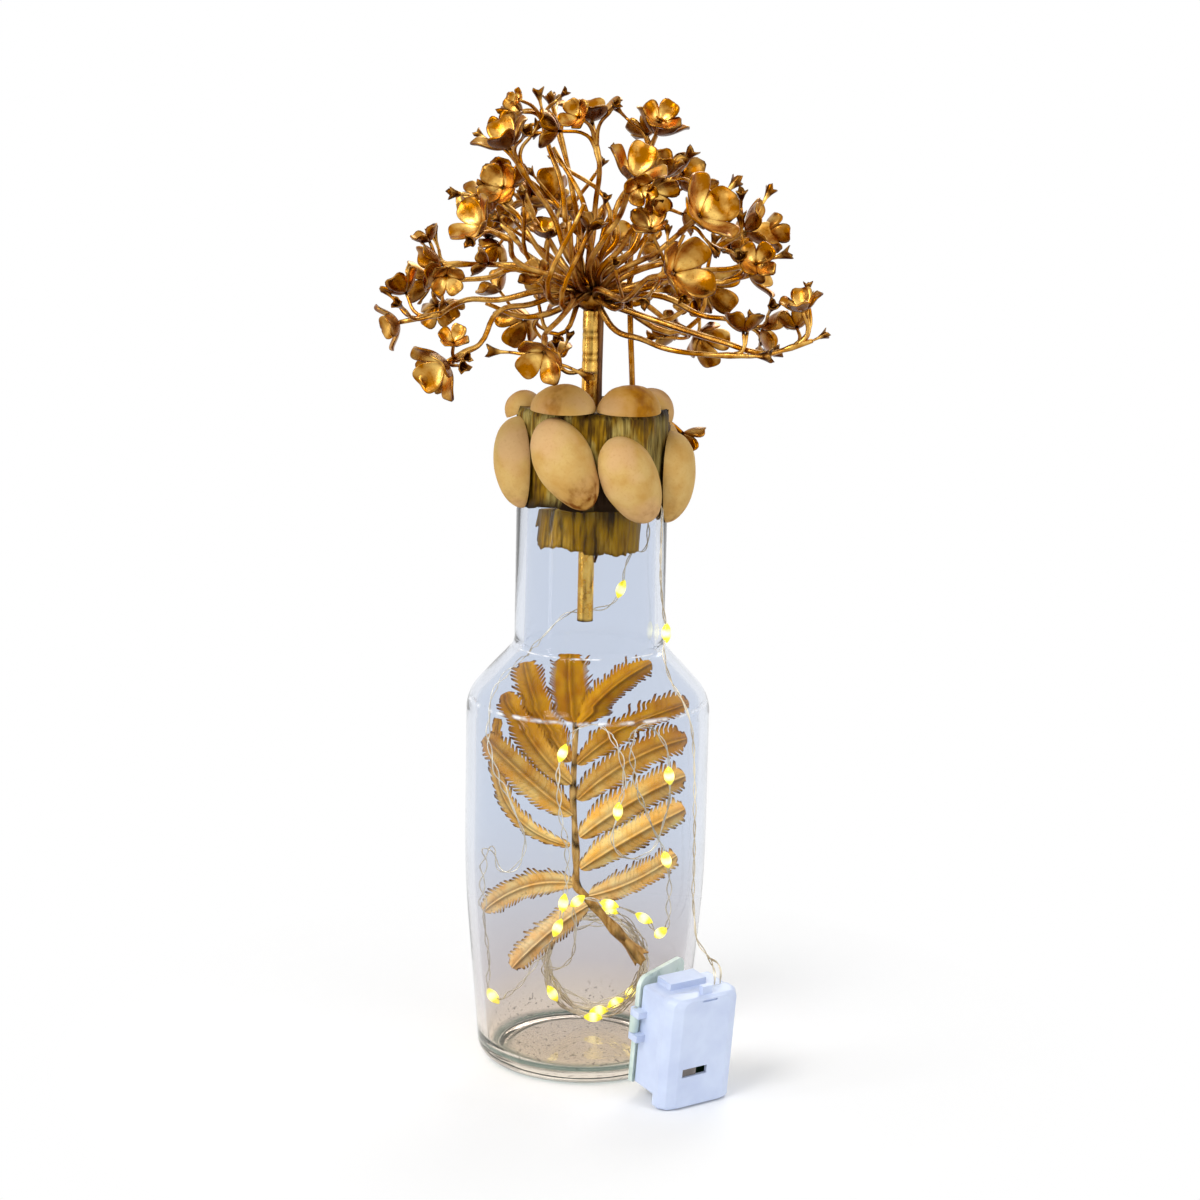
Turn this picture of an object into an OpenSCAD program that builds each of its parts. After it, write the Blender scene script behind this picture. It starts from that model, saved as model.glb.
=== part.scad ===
// Bottle lamp: a clear bottle closed by a handmade stopper that carries a gilded umbel of dried
// flowers. Inside stand a gilded fern and a string of small lamps on wire, whose lead runs over the
// lip and down to a coin-cell battery box beside the foot. Millimetres, +Z up, and the origin lies
// at the centre of the bottle's resting face. The front is -Y, and a piece's bearing round the axis
// is 0 at the front and grows towards +X.

/* [Bottle] */
// Height of the lip above the foot
bottle_h = 181; // [165:1:200]
// Diameter of the body at its widest
body_d = 76.8; // [72:0.2:90]
// Diameter of the foot before its edge is rounded
foot_d = 66.4; // [62:0.2:70]
// Outer diameter of the neck
neck_d = 47; // [44:0.5:56]
// Height at which the body stops swelling
body_z = 60; // [50:1:75]
// Height of the corner between body and shoulder
shoulder_z = 119; // [112:0.5:124]
// Height of the corner between shoulder and neck
neck_z = 135; // [130:0.5:142]
// Thickness of the glass wall
glass_t = 3; // [2:0.1:4]
// Thickness of the glass floor
floor_t = 6; // [4:0.1:8]
// Radius of the rounded foot edge
foot_round = 2.2; // [1:0.1:6]
// Radius of the shoulder's outer bend
shoulder_round = 14; // [6:0.5:20]
// Radius of the bend at the root of the neck
neck_round = 7; // [4:0.5:14]
// Radius of the lip's two rounded edges
lip_round = 1.2; // [0.4:0.1:1.4]

/* [Stopper] */
// Outer diameter of the wrapped drum
drum_d = 48; // [44:0.5:60]
// Height of the drum above the lip
drum_h = 28.2; // [24:0.2:40]
// Thickness of the crepe wrap
wrap_t = 1.2; // [0.6:0.1:2.5]
// Diameter of the plug in the neck
plug_d = 27; // [22:0.2:32]
// Length of the plug below the drum
plug_h = 12; // [8:0.5:18]
// Length of the crepe skirt below the drum at its longest
skirt_h = 16.4; // [10:0.2:20]
// Thickness of the crepe skirt
skirt_t = 1; // [0.6:0.1:1.4]
// Depth of the skirt's folds
skirt_fold = 0.9; // [0.3:0.1:1.2]
// How far the skirt's left flap flares out
skirt_flare = 3; // [0:0.1:3.6]
// Width of the groove that lets the lead pass under the drum
groove_w = 3; // [2:0.1:6]
// Height of that groove
groove_h = 1.6; // [1.2:0.1:4]
// Running gap between the stopper and the bottle
seat_gap = 0.3; // [0.1:0.05:0.6]

/* [Nut shells] */
// Length of a side shell
side_shell_l = 30; // [24:0.5:36]
// Width of a side shell
side_shell_w = 18.2; // [14:0.2:22]
// Lean of the side shells
side_shell_lean = 30; // [0:1:40]
// Length of a top shell
top_shell_l = 21; // [14:0.2:24]
// Width of a top shell
top_shell_w = 16; // [10:0.2:20]
// Overhang of the top shells past the drum
top_shell_out = 3.4; // [1:0.1:6]
// Wall of a nut shell
shell_t = 1; // [0.6:0.1:2]

/* [Stems] */
// Diameter of the main stem
stem_d = 5; // [3:0.1:8]
// Diameter of the second stem beside it
second_stem_d = 2.2; // [1:0.1:4]
// Diameter of the thin side stem
thin_stem_d = 1.8; // [1:0.1:4]
// Height of the main stem's cut end
stem_foot_z = 142; // [136:1:160]
// Height of the umbel's hub above the drum
hub_rise = 33; // [20:0.2:60]
// Diameter of the umbel's hub
hub_d = 10; // [6:0.2:14]

/* [Umbel] */
// Reach of the longest rays from the hub
umbel_r = 70; // [50:1:90]
// Diameter of a ray at the hub
ray_root_d = 1.5; // [1:0.1:2]
// Diameter of a ray at its tip
ray_tip_d = 1.3; // [0.8:0.1:1.6]
// Diameter of an average flower
flower_d = 15; // [8:0.5:20]
// Thickness of a petal
petal_t = 0.7; // [0.4:0.1:1.2]
// Length of a trumpet bud
bud_l = 7; // [4:0.5:12]
// Diameter of a trumpet bud's mouth
bud_d = 3.6; // [2:0.2:6]

/* [Fern] */
// Height of the fern's top above the resting face
fern_top = 129; // [110:1:132]
// Gap between the fern's reach and the glass
fern_gap = 1.8; // [1.4:0.1:6]
// Width of a middling leaflet
leaflet_w = 9; // [5:0.5:12]
// Thickness of a leaflet
leaflet_t = 0.7; // [0.4:0.1:1.5]
// Diameter of the leaf stalk at its top
stalk_top_d = 1.8; // [1:0.1:3]
// Diameter of the leaf stalk at its torn foot
stalk_foot_d = 4.4; // [2:0.1:7]
// Teeth along each side of a leaflet
teeth = 15; // [6:1:24]

/* [Light string] */
// Diameter of the wire
wire_d = 0.8; // [0.5:0.1:1.2]
// Diameter of a lamp bead
bead_d = 3.4; // [2:0.1:4]
// Length of a lamp bead
bead_l = 5.4; // [3:0.1:8]
// Radius of the put-away hank's middle loop, as a share of the bottle's inner radius
hank_share = 0.452; // [0.35:0.002:0.48]
// Loops of the hank
hank_loops = 9; // [4:1:12]
// Step from one loop of the hank to the next
hank_pitch = 1.4; // [1.3:0.05:2]

/* [Battery box] */
// Width of the box
box_w = 26.8; // [25:0.2:36]
// Height of the box
box_h = 36.8; // [34:0.2:50]
// Depth of the front cover
cover_depth = 6; // [5:0.1:10]
// Depth of the rear shell behind the cover
shell_depth = 10.4; // [8:0.1:12]
// Thickness of the battery lid
lid_t = 1.4; // [1:0.1:2.5]
// Wall of the box
box_wall = 1.2; // [0.8:0.1:1.6]
// Radius of the cover's upper corners
box_round = 3; // [1.2:0.1:4]
// Inset of the cover's flat face from each side
face_inset = 4.6; // [1:0.1:6]
// Drop from the cover's top to the rear shell's
box_chamfer = 0.8; // [0.4:0.1:2]
// Diameter of a coin cell
cell_d = 20; // [16:0.5:20]
// Thickness of a coin cell
cell_t = 3.2; // [1.6:0.1:3.2]
// Angle at which the lid stands ajar
lid_ajar = 21; // [0:1:21]
// Angle of the box about the upright
box_yaw = 35; // [20:1:40]
// Forward lean of the box
box_lean = 6; // [0:0.5:10]
// Length of the switch knob
knob_l = 5.4; // [3:0.1:7]
// Travel of the switch knob
knob_travel = 3.4; // [1.5:0.1:4]

/* [Hidden] */

$fn = 48;
bend_steps = 6;
hull_sides = 32;
cut_over = 1;

gold = "goldenrod";
shell_cream = "burlywood";
crepe = "darkolivegreen";
plastic = "white";

// Glass: derived radii and the turn from wall to shoulder
body_r = body_d / 2;
foot_r = foot_d / 2;
neck_r = neck_d / 2;
bore_r = neck_r - glass_t;
shoulder_turn = atan2(body_r - neck_r, neck_z - shoulder_z);
inset_drop = glass_t * tan(shoulder_turn / 2);
body_round = body_d * 4.5;
floor_round = glass_t * 2.4;

// Stopper: heights of its parts
drum_r = drum_d / 2;
core_r = drum_r - wrap_t;
plug_r = plug_d / 2;
drum_z = bottle_h + seat_gap;
drum_top = drum_z + drum_h;
cover_top = drum_top + wrap_t / 2;
hub_z = cover_top + hub_rise;
hub_r = hub_d / 2;
groove_bearing = 62;

// Stems: their places off the axis
stem_r = stem_d / 2;
stem_x = -stem_d * 0.3;
second_x = stem_x + stem_r + second_stem_d;
stem_waist_share = 0.8;
stem_end_share = 0.86;
node_band_share = 0.3;
thin_depth = drum_h * 0.4;
pin_play = 0.05;

function unit(v) = v / norm(v);
function mix(a, b, t) = a + (b - a) * t;
function bearing(a) = [sin(a), -cos(a), 0];

// Points of the arc of a given radius that rounds corner b between a and c
function corner_arc(a, b, c, radius) =
  let (u = unit(a - b), w = unit(c - b), half = acos(u * w) / 2,
       centre = b + unit(u + w) * radius / sin(half),
       v0 = b + u * radius / tan(half) - centre,
       v1 = b + w * radius / tan(half) - centre, sweep = 180 - 2 * half)
  [for (i = [0 : bend_steps]) centre
    + (v0 * sin(sweep * (1 - i / bend_steps)) + v1 * sin(sweep * i / bend_steps)) / sin(sweep)];

// A line whose inner corners, given as [r, z, radius], are rounded
function rounded_line(c) = concat([[c[0][0], c[0][1]]],
  [for (i = [1 : len(c) - 2])
    each corner_arc([c[i - 1][0], c[i - 1][1]], [c[i][0], c[i][1]],
      [c[i + 1][0], c[i + 1][1]], c[i][2])],
  [[c[len(c) - 1][0], c[len(c) - 1][1]]]);

// Tube skinned over rings of points, with closed ends, all in triangles
function ring_faces(n, sides) = concat(
  [for (j = [1 : sides - 2]) [0, j, j + 1]],
  [for (i = [0 : n - 2], j = [0 : sides - 1])
    let (a = i * sides + j, b = i * sides + (j + 1) % sides)
    each [[a, b + sides, b], [a, a + sides, b + sides]]],
  [for (j = [1 : sides - 2]) let (k = (n - 1) * sides) [k, k + j + 1, k + j]]);
function tangents(p) = [for (i = [0 : len(p) - 1])
  unit(p[min(i + 1, len(p) - 1)] - p[max(i - 1, 0)])];
function carried(t, n, i = 0, out = []) = i == len(t) ? out
  : let (m = unit(n - (n * t[i]) * t[i])) carried(t, m, i + 1, concat(out, [m]));
function tube_rings(p, r, sides, start) =
  let (t = tangents(p), m = carried(t, start))
  [for (i = [0 : len(p) - 1], j = [0 : sides - 1])
    let (a = 360 * j / sides, s = is_list(r) ? r[i] : r)
    p[i] + s * (cos(a) * m[i] + sin(a) * cross(t[i], m[i]))];
module tube(p, r, sides = 8, start = [0, 1, 0])
  polyhedron(tube_rings(p, r, sides, start), ring_faces(len(p), sides), convexity = 10);

// Turns +Z to a direction and moves the origin to a place
module aim(at, dir)
  translate(at) rotate([0, acos(dir[2] / norm(dir)), atan2(dir[1], dir[0])]) children();

// Bottle: its outer and inner lines, revolved
function glass_line() =
  concat(
    rounded_line([[0, 0, 0], [foot_r, 0, foot_round], [body_r, body_z, body_round],
      [body_r, shoulder_z, shoulder_round], [neck_r, neck_z, neck_round],
      [neck_r, bottle_h, lip_round], [(neck_r + bore_r) / 2, bottle_h, 0]]),
    rounded_line([[(neck_r + bore_r) / 2, bottle_h, 0], [bore_r, bottle_h, lip_round],
      [bore_r, neck_z - inset_drop, neck_round + glass_t],
      [body_r - glass_t, shoulder_z - inset_drop, shoulder_round - glass_t],
      [body_r - glass_t, body_z, body_round],
      [foot_r - glass_t, floor_t, floor_round], [0, floor_t, 0]]));
module glass_bottle() {
  color("lightcyan", 0.4)
    rotate_extrude()
      polygon(glass_line());
}

// Everything that runs down through the stopper, with a little play
module stem_bores() {
  translate([stem_x, 0, 0])
    cylinder(r = stem_r + pin_play, h = hub_z);
  translate([second_x, 0, 0])
    cylinder(d = second_stem_d + 2 * pin_play, h = hub_z);
  translate([thin_foot[0], thin_foot[1], thin_foot[2]])
    cylinder(d = thin_stem_d + 2 * pin_play, h = hub_z);
}

// Groove under the drum in which the lead crosses the lip
module lead_groove()
  rotate([0, 0, groove_bearing - 90])
    translate([plug_r, -groove_w / 2, drum_z - cut_over])
      cube([drum_r, groove_w, groove_h + cut_over]);

module stopper_core() {
  color("peru")
    difference() {
      rotate_extrude()
        polygon([[0, drum_z - plug_h], [plug_r, drum_z - plug_h], [plug_r, drum_z],
          [core_r, drum_z], [core_r, drum_top], [0, drum_top]]);
      stem_bores();
      lead_groove();
    }
}

module cap_wrap() {
  color(crepe)
    difference() {
      rotate_extrude()
        polygon([[core_r, drum_z], [drum_r, drum_z], [drum_r, cover_top], [0, cover_top],
          [0, drum_top], [core_r, drum_top]]);
      stem_bores();
      lead_groove();
    }
}

// Crepe skirt: folds run down it, and its ragged edge hangs in two flaps
skirt_cols = 72;
skirt_rows = 4;
skirt_folds = 11;
// Lengths of the skirt at even bearings, as shares of its longest
skirt_edge_share = [0.97, 1, 1, 0.92, 0.8, 0.62, 0.66, 0.6, 0.7, 0.64, 0.94, 0.84];
function skirt_edge(a) =
  let (n = len(skirt_edge_share), k = a / 360 * n, i = floor(k))
  mix(skirt_edge_share[i % n], skirt_edge_share[(i + 1) % n], k - i);
function skirt_point(a, row, out) =
  let (t = row / skirt_rows, z = -skirt_h * t * skirt_edge(a),
       fold = skirt_fold * t * (1 + cos(skirt_folds * a)) / 2,
       flare = skirt_flare * t * max(0, cos(a - 285)),
       r = plug_r + pin_play + fold + flare + (out ? skirt_t : 0))
  r * bearing(a) + [0, 0, drum_z + z];
module neck_skirt() {
  rings = concat([for (row = [0 : skirt_rows]) [row, true]],
    [for (row = [skirt_rows : -1 : 0]) [row, false]]);
  n = len(rings);
  color(crepe)
    polyhedron(
      [for (q = rings, j = [0 : skirt_cols - 1]) skirt_point(360 * j / skirt_cols, q[0], q[1])],
      [for (i = [0 : n - 1], j = [0 : skirt_cols - 1])
        let (a = i * skirt_cols + j, b = i * skirt_cols + (j + 1) % skirt_cols,
             c = (i + 1) % n * skirt_cols + (j + 1) % skirt_cols,
             d = (i + 1) % n * skirt_cols + j)
        each [[a, b, c], [a, c, d]]], convexity = 6);
}

// Half nut shell: an egg's outline revolved half a turn, hollow, with its open side at y = 0. Its
// narrow end points down.
egg_steps = 12;
egg_share = 0.1;
function egg(l, w, back) = [for (i = [0 : egg_steps])
  let (a = 180 * (back ? egg_steps - i : i) / egg_steps)
  [w / 2 * sin(a) * (1 - egg_share * cos(a)), -l / 2 * cos(a)]];
module nut_shell(l, w) {
  rotate([0, 0, 180])
    rotate_extrude(angle = 180)
      polygon(concat(egg(l, w, false), egg(l - 2 * shell_t, w - 2 * shell_t, true)));
}

// Side shells round the drum: bearing in half turns, rise of the middle as a share of the drum's
// height, lean as a share of the full lean, and size
side_shell_shares = [[-0.38, 0.42, 0.35, 0.94], [-0.106, 0.475, 1, 1], [0.158, 0.31, 1, 0.99],
  [0.437, 0.27, -0.2, 0.95], [0.722, 0.36, 0.8, 0.93], [1.008, 0.3, 1, 0.96],
  [1.31, 0.36, 0.9, 0.93]];
shell_seat = 0.3;
module side_shell(i) {
  s = side_shell_shares[i - 1];
  color(shell_cream)
    rotate([0, 0, 180 * s[0]])
      translate([0, shell_seat - drum_r, drum_z + drum_h * s[1]])
        rotate([0, -side_shell_lean * s[2], 0])
          nut_shell(side_shell_l * s[3], side_shell_w * s[3]);
}

// Top shells lie along the drum's top edge, dome up, and are let over the edge: bearing in half
// turns, outward tilt in quarter turns, and rise of the middle of the rim above the drum's top and
// its place in from the usual overhang, both as shares of the shell's width, and size
top_shell_shares = [[-0.161, 0.04, 0.02, 0, 1], [0.183, 0.06, 0.02, 0, 1],
  [0.522, 0.5, -0.13, 0.15, 0.92], [0.83, 0.3, -0.17, 0, 0.82], [1.17, 0.3, -0.17, 0, 0.82],
  [1.48, 0.28, -0.12, 0, 0.74]];
module top_shell(i) {
  s = top_shell_shares[i - 1];
  color(shell_cream)
    difference() {
      rotate([0, 0, 180 * s[0]])
        translate([0, -drum_r - top_shell_out + top_shell_w * (s[4] / 2 + s[3]),
            cover_top + top_shell_w * s[2]])
          rotate([-90 + 90 * s[1], 0, 0])
            rotate([0, 90, 0])
              nut_shell(top_shell_l * s[4], top_shell_w * s[4]);
      cylinder(r = drum_r, h = cover_top);
      stem_bores();
    }
}

// Main stem: fine growth rings above a node band, a waist below it and a cut foot
rings_n = 9;
ring_depth = stem_d * 0.03;
band_z = cover_top + hub_rise * node_band_share;
module main_stem() {
  ring_span = (hub_z - hub_r - band_z) / (rings_n + 1);
  color(gold)
    translate([stem_x, 0, 0])
      rotate_extrude()
        polygon(concat(
          [[0, stem_foot_z], [stem_r * stem_end_share, stem_foot_z], [stem_r, drum_z - plug_h],
           [stem_r, cover_top], [stem_r * stem_waist_share, band_z - stem_d / 4],
           [stem_r + ring_depth, band_z], [stem_r * stem_waist_share, band_z + stem_d / 6]],
          [for (i = [1 : rings_n]) each [
            [stem_r, band_z + ring_span * i], [stem_r - ring_depth, band_z + ring_span * (i + 0.5)]]],
          [[stem_r, hub_z - hub_r * 0.7], [0, hub_z - hub_r * 0.7]]));
}

// Second stem: a thin dark stick beside the main stem, cut to a wedge at its foot
second_foot_z = stem_foot_z + stem_d * 3.6;
module second_stem() {
  color("saddlebrown")
    translate([second_x, 0, 0])
      rotate_extrude()
        polygon([[0, second_foot_z], [second_stem_d / 4, second_foot_z],
          [second_stem_d / 2, drum_z - plug_h], [second_stem_d / 2, hub_z - hub_r / 2],
          [0, hub_z - hub_r / 2]]);
}

// Thin stem: rises from its hole in the drum beside the others and carries one flower
thin_shares = [[0.17, 0.02, -0.38], [0.17, 0.02, -0.3], [0.15, 0.05, -0.05], [0.15, 0.19, 0.2],
  [0.2, 0.3, 0.46]];
thin_foot = [umbel_r * thin_shares[0][0], umbel_r * thin_shares[0][1], drum_top - thin_depth];
function thin_path() = concat([thin_foot, [thin_foot[0], thin_foot[1], cover_top]],
  [for (s = thin_shares) if (s != thin_shares[0] && s != thin_shares[1])
    [umbel_r * s[0], umbel_r * s[1], hub_z + umbel_r * s[2]]]);
module thin_stem() {
  color(gold)
    tube(thin_path(), thin_stem_d / 2, 8);
}

module umbel_hub() {
  color(gold)
    translate([stem_x, 0, hub_z])
      rotate_extrude()
        polygon(concat([[0, -hub_r]], [for (i = [0 : 10])
          let (a = -66 + 15.6 * i) hub_r * [cos(a), sin(a)]], [[0, hub_r]]));
}

// Umbel: each ray's tip and the bend that draws it, as shares of the reach from the hub, then its
// flower's size (0 for a bud) and its sector: 0 top, 1 left, 2 right, 3 front, 4 back
ray_shares = [
  [-0.359, -0.244, 0.647, -0.136, -0.136, 0.239, 1, 0],
  [-0.012, -0.108, 0.76, 0.034, -0.052, 0.336, 1.1, 0],
  [0.268, 0.135, 0.702, 0.091, 0.132, 0.252, 1, 0],
  [0.161, -0.403, 0.531, 0.032, -0.227, 0.247, 1, 3],
  [0.442, -0.487, 0.388, 0.206, -0.262, 0.184, 1.25, 3],
  [-0.461, -0.404, 0.323, -0.207, -0.223, 0.142, 0.95, 1],
  [-0.19, 0.469, 0.392, -0.032, 0.243, 0.197, 1, 4],
  [0.655, -0.162, 0.312, 0.318, -0.082, 0.172, 0.95, 2],
  [0.336, -0.564, 0.157, 0.087, -0.317, 0.08, 1.15, 3],
  [0.611, 0.269, 0.215, 0.275, 0.104, 0.2, 0.9, 2],
  [0.671, -0.27, 0.134, 0.295, -0.201, 0.054, 0.9, 2],
  [-0.823, -0.204, -0.105, -0.42, -0.094, 0.06, 1, 1],
  [-0.603, -0.516, -0.239, -0.305, -0.253, -0.001, 1.05, 1],
  [-0.647, -0.161, 0.145, -0.32, -0.108, 0.223, 0.9, 1],
  [-0.713, 0.162, 0.05, -0.373, 0.087, 0.136, 0.85, 1],
  [-0.306, 0.563, -0.153, -0.11, 0.297, 0.01, 0.9, 4],
  [-0.189, -0.533, -0.185, -0.095, -0.267, 0.007, 0.9, 3],
  [0.738, -0.135, -0.104, 0.371, -0.059, 0.013, 0.95, 2],
  [0.517, 0.513, 0.02, 0.236, 0.255, 0.133, 1, 4],
  [-0.405, 0.567, 0.27, -0.236, 0.262, 0.108, 0.9, 4],
  [0.108, 0.702, 0.203, 0.082, 0.356, 0.13, 0.95, 4],
  [0.5, 0.56, -0.22, 0.272, 0.227, -0.026, 0.9, 4],
  [-0.232, 0.065, 0.808, -0.127, -0.013, 0.358, 0, 0],
  [-0.176, 0.181, 0.774, -0.048, 0.129, 0.317, 0, 0],
  [-0.43, 0.151, 0.418, -0.22, 0.045, 0.23, 0, 1],
  [-0.314, 0.314, 0.446, -0.153, 0.171, 0.215, 0, 4],
  [0.372, 0, 0.568, 0.132, 0.012, 0.214, 0, 0],
  [0.293, -0.275, 0.436, 0.116, -0.103, 0.211, 0, 3],
  [0.772, 0.064, 0.179, 0.357, 0.104, 0.056, 0, 2],
  [0.95, -0.314, -0.136, 0.797, -0.408, -0.275, 0, 2],
  [0.674, -0.387, -0.199, 0.23, -0.261, -0.24, 0, 2]];
ray_sides = 6;
ray_steps = 5;
ray_sink_share = 0.86;
hub = [stem_x, 0, hub_z];
function ray_tip(s) = hub + umbel_r * [s[0], s[1], s[2]];
function ray_bend(s) = hub + umbel_r * [s[3], s[4], s[5]];
function ray_root(s) = hub + hub_r * ray_sink_share * unit(ray_bend(s) - hub);
function ray_point(s, t) =
  mix(mix(ray_root(s), ray_bend(s), t), mix(ray_bend(s), ray_tip(s), t), t);
function ray_dir(s) = unit(ray_tip(s) - ray_bend(s));
module ray(s) {
  path = [for (i = [0 : ray_steps]) ray_point(s, i / ray_steps)];
  radii = [for (i = [0 : ray_steps]) mix(ray_root_d, ray_tip_d, i / ray_steps) / 2];
  tube(path, radii, ray_sides, unit(cross(unit(ray_bend(s) - hub), [1, 2, 0.5])));
}
module rays(sector)
  color(gold)
    for (s = ray_shares)
      if (s[7] == sector)
        ray(s);

// Flower: one cupped sheet with four rounded lobes on a small cone
petal_cols = 16;
petal_ring_share = [0.3, 0.68, 1];
lobe_notch = 0.42;
cup_share = 0.42;
function lobe(a) = mix(lobe_notch, 1, pow(abs(cos(2 * a)), 0.6));
function petal_point(d, k, a, under) =
  let (s = petal_ring_share[k], r = d / 2 * s * mix(1, lobe(a), s))
  [r * cos(a), r * sin(a), d * cup_share * s * s - (under ? petal_t : 0)];
function petal_faces(n, under) = concat(
  [for (j = [0 : n - 1]) under ? [0, 1 + j, 1 + (j + 1) % n] : [0, 1 + (j + 1) % n, 1 + j]],
  [for (k = [0 : len(petal_ring_share) - 2], j = [0 : n - 1])
    let (a = 1 + k * n + j, b = 1 + k * n + (j + 1) % n, c = b + n, e = a + n)
    each under ? [[a, c, b], [a, e, c]] : [[a, b, c], [a, c, e]]]);
module flower(d) {
  n = petal_cols;
  m = 1 + n * len(petal_ring_share);
  last = m - n;
  top = concat([[0, 0, 0]], [for (k = [0 : len(petal_ring_share) - 1], j = [0 : n - 1])
    petal_point(d, k, 360 * j / n, false)]);
  low = concat([[0, 0, -petal_t * 2]], [for (k = [0 : len(petal_ring_share) - 1], j = [0 : n - 1])
    petal_point(d, k, 360 * j / n, true)]);
  polyhedron(concat(top, low), concat(petal_faces(n, false),
    [for (f = petal_faces(n, true)) [f[0] + m, f[1] + m, f[2] + m]],
    [for (j = [0 : n - 1]) let (a = last + j, b = last + (j + 1) % n)
      each [[a, b, b + m], [a, b + m, a + m]]]), convexity = 6);
}
module flowers(sector) {
  color(gold)
    for (s = ray_shares)
      if (s[7] == sector && s[6] > 0)
        aim(ray_tip(s), ray_dir(s))
          flower(flower_d * s[6]);
  color(gold)
    if (sector == 2)
      aim(thin_path()[4], thin_path()[4] - thin_path()[3])
        flower(flower_d);
}

// Trumpet bud, revolved
bud_shares = [[0, -0.16], [0.56, -0.08], [0.5, 0.5], [1, 0.9], [0.9, 1], [0, 0.8]];
module bud(l, d)
  rotate_extrude()
    polygon([for (s = bud_shares) [d / 2 * s[0], l * s[1]]]);
module bud_tips()
  color(gold)
    for (s = ray_shares)
      if (s[6] == 0)
        aim(ray_tip(s), ray_dir(s))
          bud(bud_l, bud_d);

// Small sprigs: one at the stem's node band, one behind the drum, each a thin stalk with a bud
sprig_d = ray_tip_d;
sprig_roots = [[stem_x - stem_d * 0.2, 0, hub_z - hub_rise * 0.66],
  [drum_d * 0.102, drum_d * 0.131, drum_top - sprig_d]];
sprig_shares = [
  [[-0.11, -0.01, -0.33], [-0.15, -0.02, -0.31]],
  [[0.13, 0.14, -0.28], [0.28, 0.24, -0.26], [0.42, 0.28, -0.37], [0.48, 0.22, -0.53]]];
function sprig_path(k) = concat([sprig_roots[k]], [for (s = sprig_shares[k])
  [umbel_r * s[0], umbel_r * s[1], hub_z + umbel_r * s[2]]]);
module stem_sprigs() {
  color(gold)
    for (k = [0 : len(sprig_shares) - 1])
      tube(sprig_path(k), sprig_d / 2, ray_sides, [0, 0, 1]);
  color(gold)
    for (k = [0 : len(sprig_shares) - 1])
      aim(sprig_path(k)[len(sprig_path(k)) - 1],
          sprig_path(k)[len(sprig_path(k)) - 1] - sprig_path(k)[len(sprig_path(k)) - 2])
        bud(bud_l, bud_d);
}

// Fern: a stalk and flat leaflets with a comb of teeth along each side. Places are [x, z] shares
// of the reach and of the fern's height.
fern_reach = body_r - glass_t - fern_gap;
stalk_shares = [[-0.11, 0.85], [-0.125, 0.67], [-0.087, 0.52], [-0.072, 0.43], [0.078, 0.385],
  [0.3, 0.32], [0.55, 0.25]];
stalk_size_share = [0, 0.1, 0.2, 0.3, 0.4, 0.6, 1];
function stalk_point(s) = [fern_reach * s[0], 0, fern_top * s[1]];
module fern_stalk() {
  color("sienna")
    tube([for (s = stalk_shares) stalk_point(s)],
      [for (t = stalk_size_share) mix(stalk_top_d, stalk_foot_d, t) / 2], 8, [0, 1, 0]);
}

// Leaflets: root x and z, bend x and z, tip x and z, width, place in front of the stalk
leaflet_shares = [
  [-0.115, 0.84, -0.19, 0.92, -0.18, 1, 1.3, 0], [-0.13, 0.74, -0.52, 0.86, -0.6, 0.985, 1.1, 1],
  [-0.1, 0.83, 0.12, 0.93, 0.57, 0.995, 0.9, -1], [-0.12, 0.735, 0.35, 0.86, 0.93, 0.9, 0.95, 0],
  [-0.11, 0.645, 0.35, 0.77, 0.93, 0.81, 0.95, 0], [-0.08, 0.55, 0.4, 0.66, 0.92, 0.715, 0.95, 0],
  [-0.07, 0.47, 0.4, 0.56, 0.93, 0.63, 0.95, 0], [0.02, 0.405, 0.45, 0.43, 0.86, 0.51, 0.9, 0],
  [-0.1, 0.61, -0.5, 0.68, -0.97, 0.8, 1.15, 0], [-0.09, 0.53, -0.98, 0.57, -0.86, 0.84, 0.55, 1],
  [-0.06, 0.435, -0.55, 0.46, -0.96, 0.36, 0.9, 0], [0.06, 0.385, -0.3, 0.33, -0.67, 0.215, 0.95, 0],
  [-0.12, 0.69, -0.5, 0.765, -0.775, 0.91, 1, -1]];
leaflet_layer = leaflet_t * 1.15;
leaflet_root_share = 0.3;
function leaflet_mid(s, t) =
  let (a = [fern_reach * s[0], fern_top * s[1]], b = [fern_reach * s[2], fern_top * s[3]],
       c = [fern_reach * s[4], fern_top * s[5]])
  mix(mix(a, b, t), mix(b, c, t), t);
function leaflet_side(s, t) =
  let (d = unit(leaflet_mid(s, t + 0.01) - leaflet_mid(s, t - 0.01))) [-d[1], d[0]];
function leaflet_half(s, t) =
  leaflet_w * s[6] / 2 * mix(leaflet_root_share, 1, sin(90 * min(1, t * 3))) * (1 - 0.35 * pow(t, 4));
function comb(s, side) = [for (i = [0 : teeth - 1]) let (t = 0.06 + 0.94 * i / teeth,
    u = 0.06 + 0.94 * (i + 0.85) / teeth)
  each [leaflet_mid(s, t) + side * leaflet_side(s, t) * leaflet_half(s, t) * 0.66,
    leaflet_mid(s, u) + side * leaflet_side(s, u) * leaflet_half(s, u)]];
function turned(list) = [for (i = [len(list) - 1 : -1 : 0]) list[i]];
module leaflet(i) {
  s = leaflet_shares[i - 1];
  root = [leaflet_mid(s, 0) + leaflet_side(s, 0) * leaflet_t,
    leaflet_mid(s, 0) - leaflet_side(s, 0) * leaflet_t];
  color(gold)
    translate([0, leaflet_t / 2 + leaflet_layer * s[7], 0])
      rotate([90, 0, 0])
        linear_extrude(height = leaflet_t)
          polygon(concat([root[0]], comb(s, 1), [leaflet_mid(s, 1)], turned(comb(s, -1)), [root[1]]));
}

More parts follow.
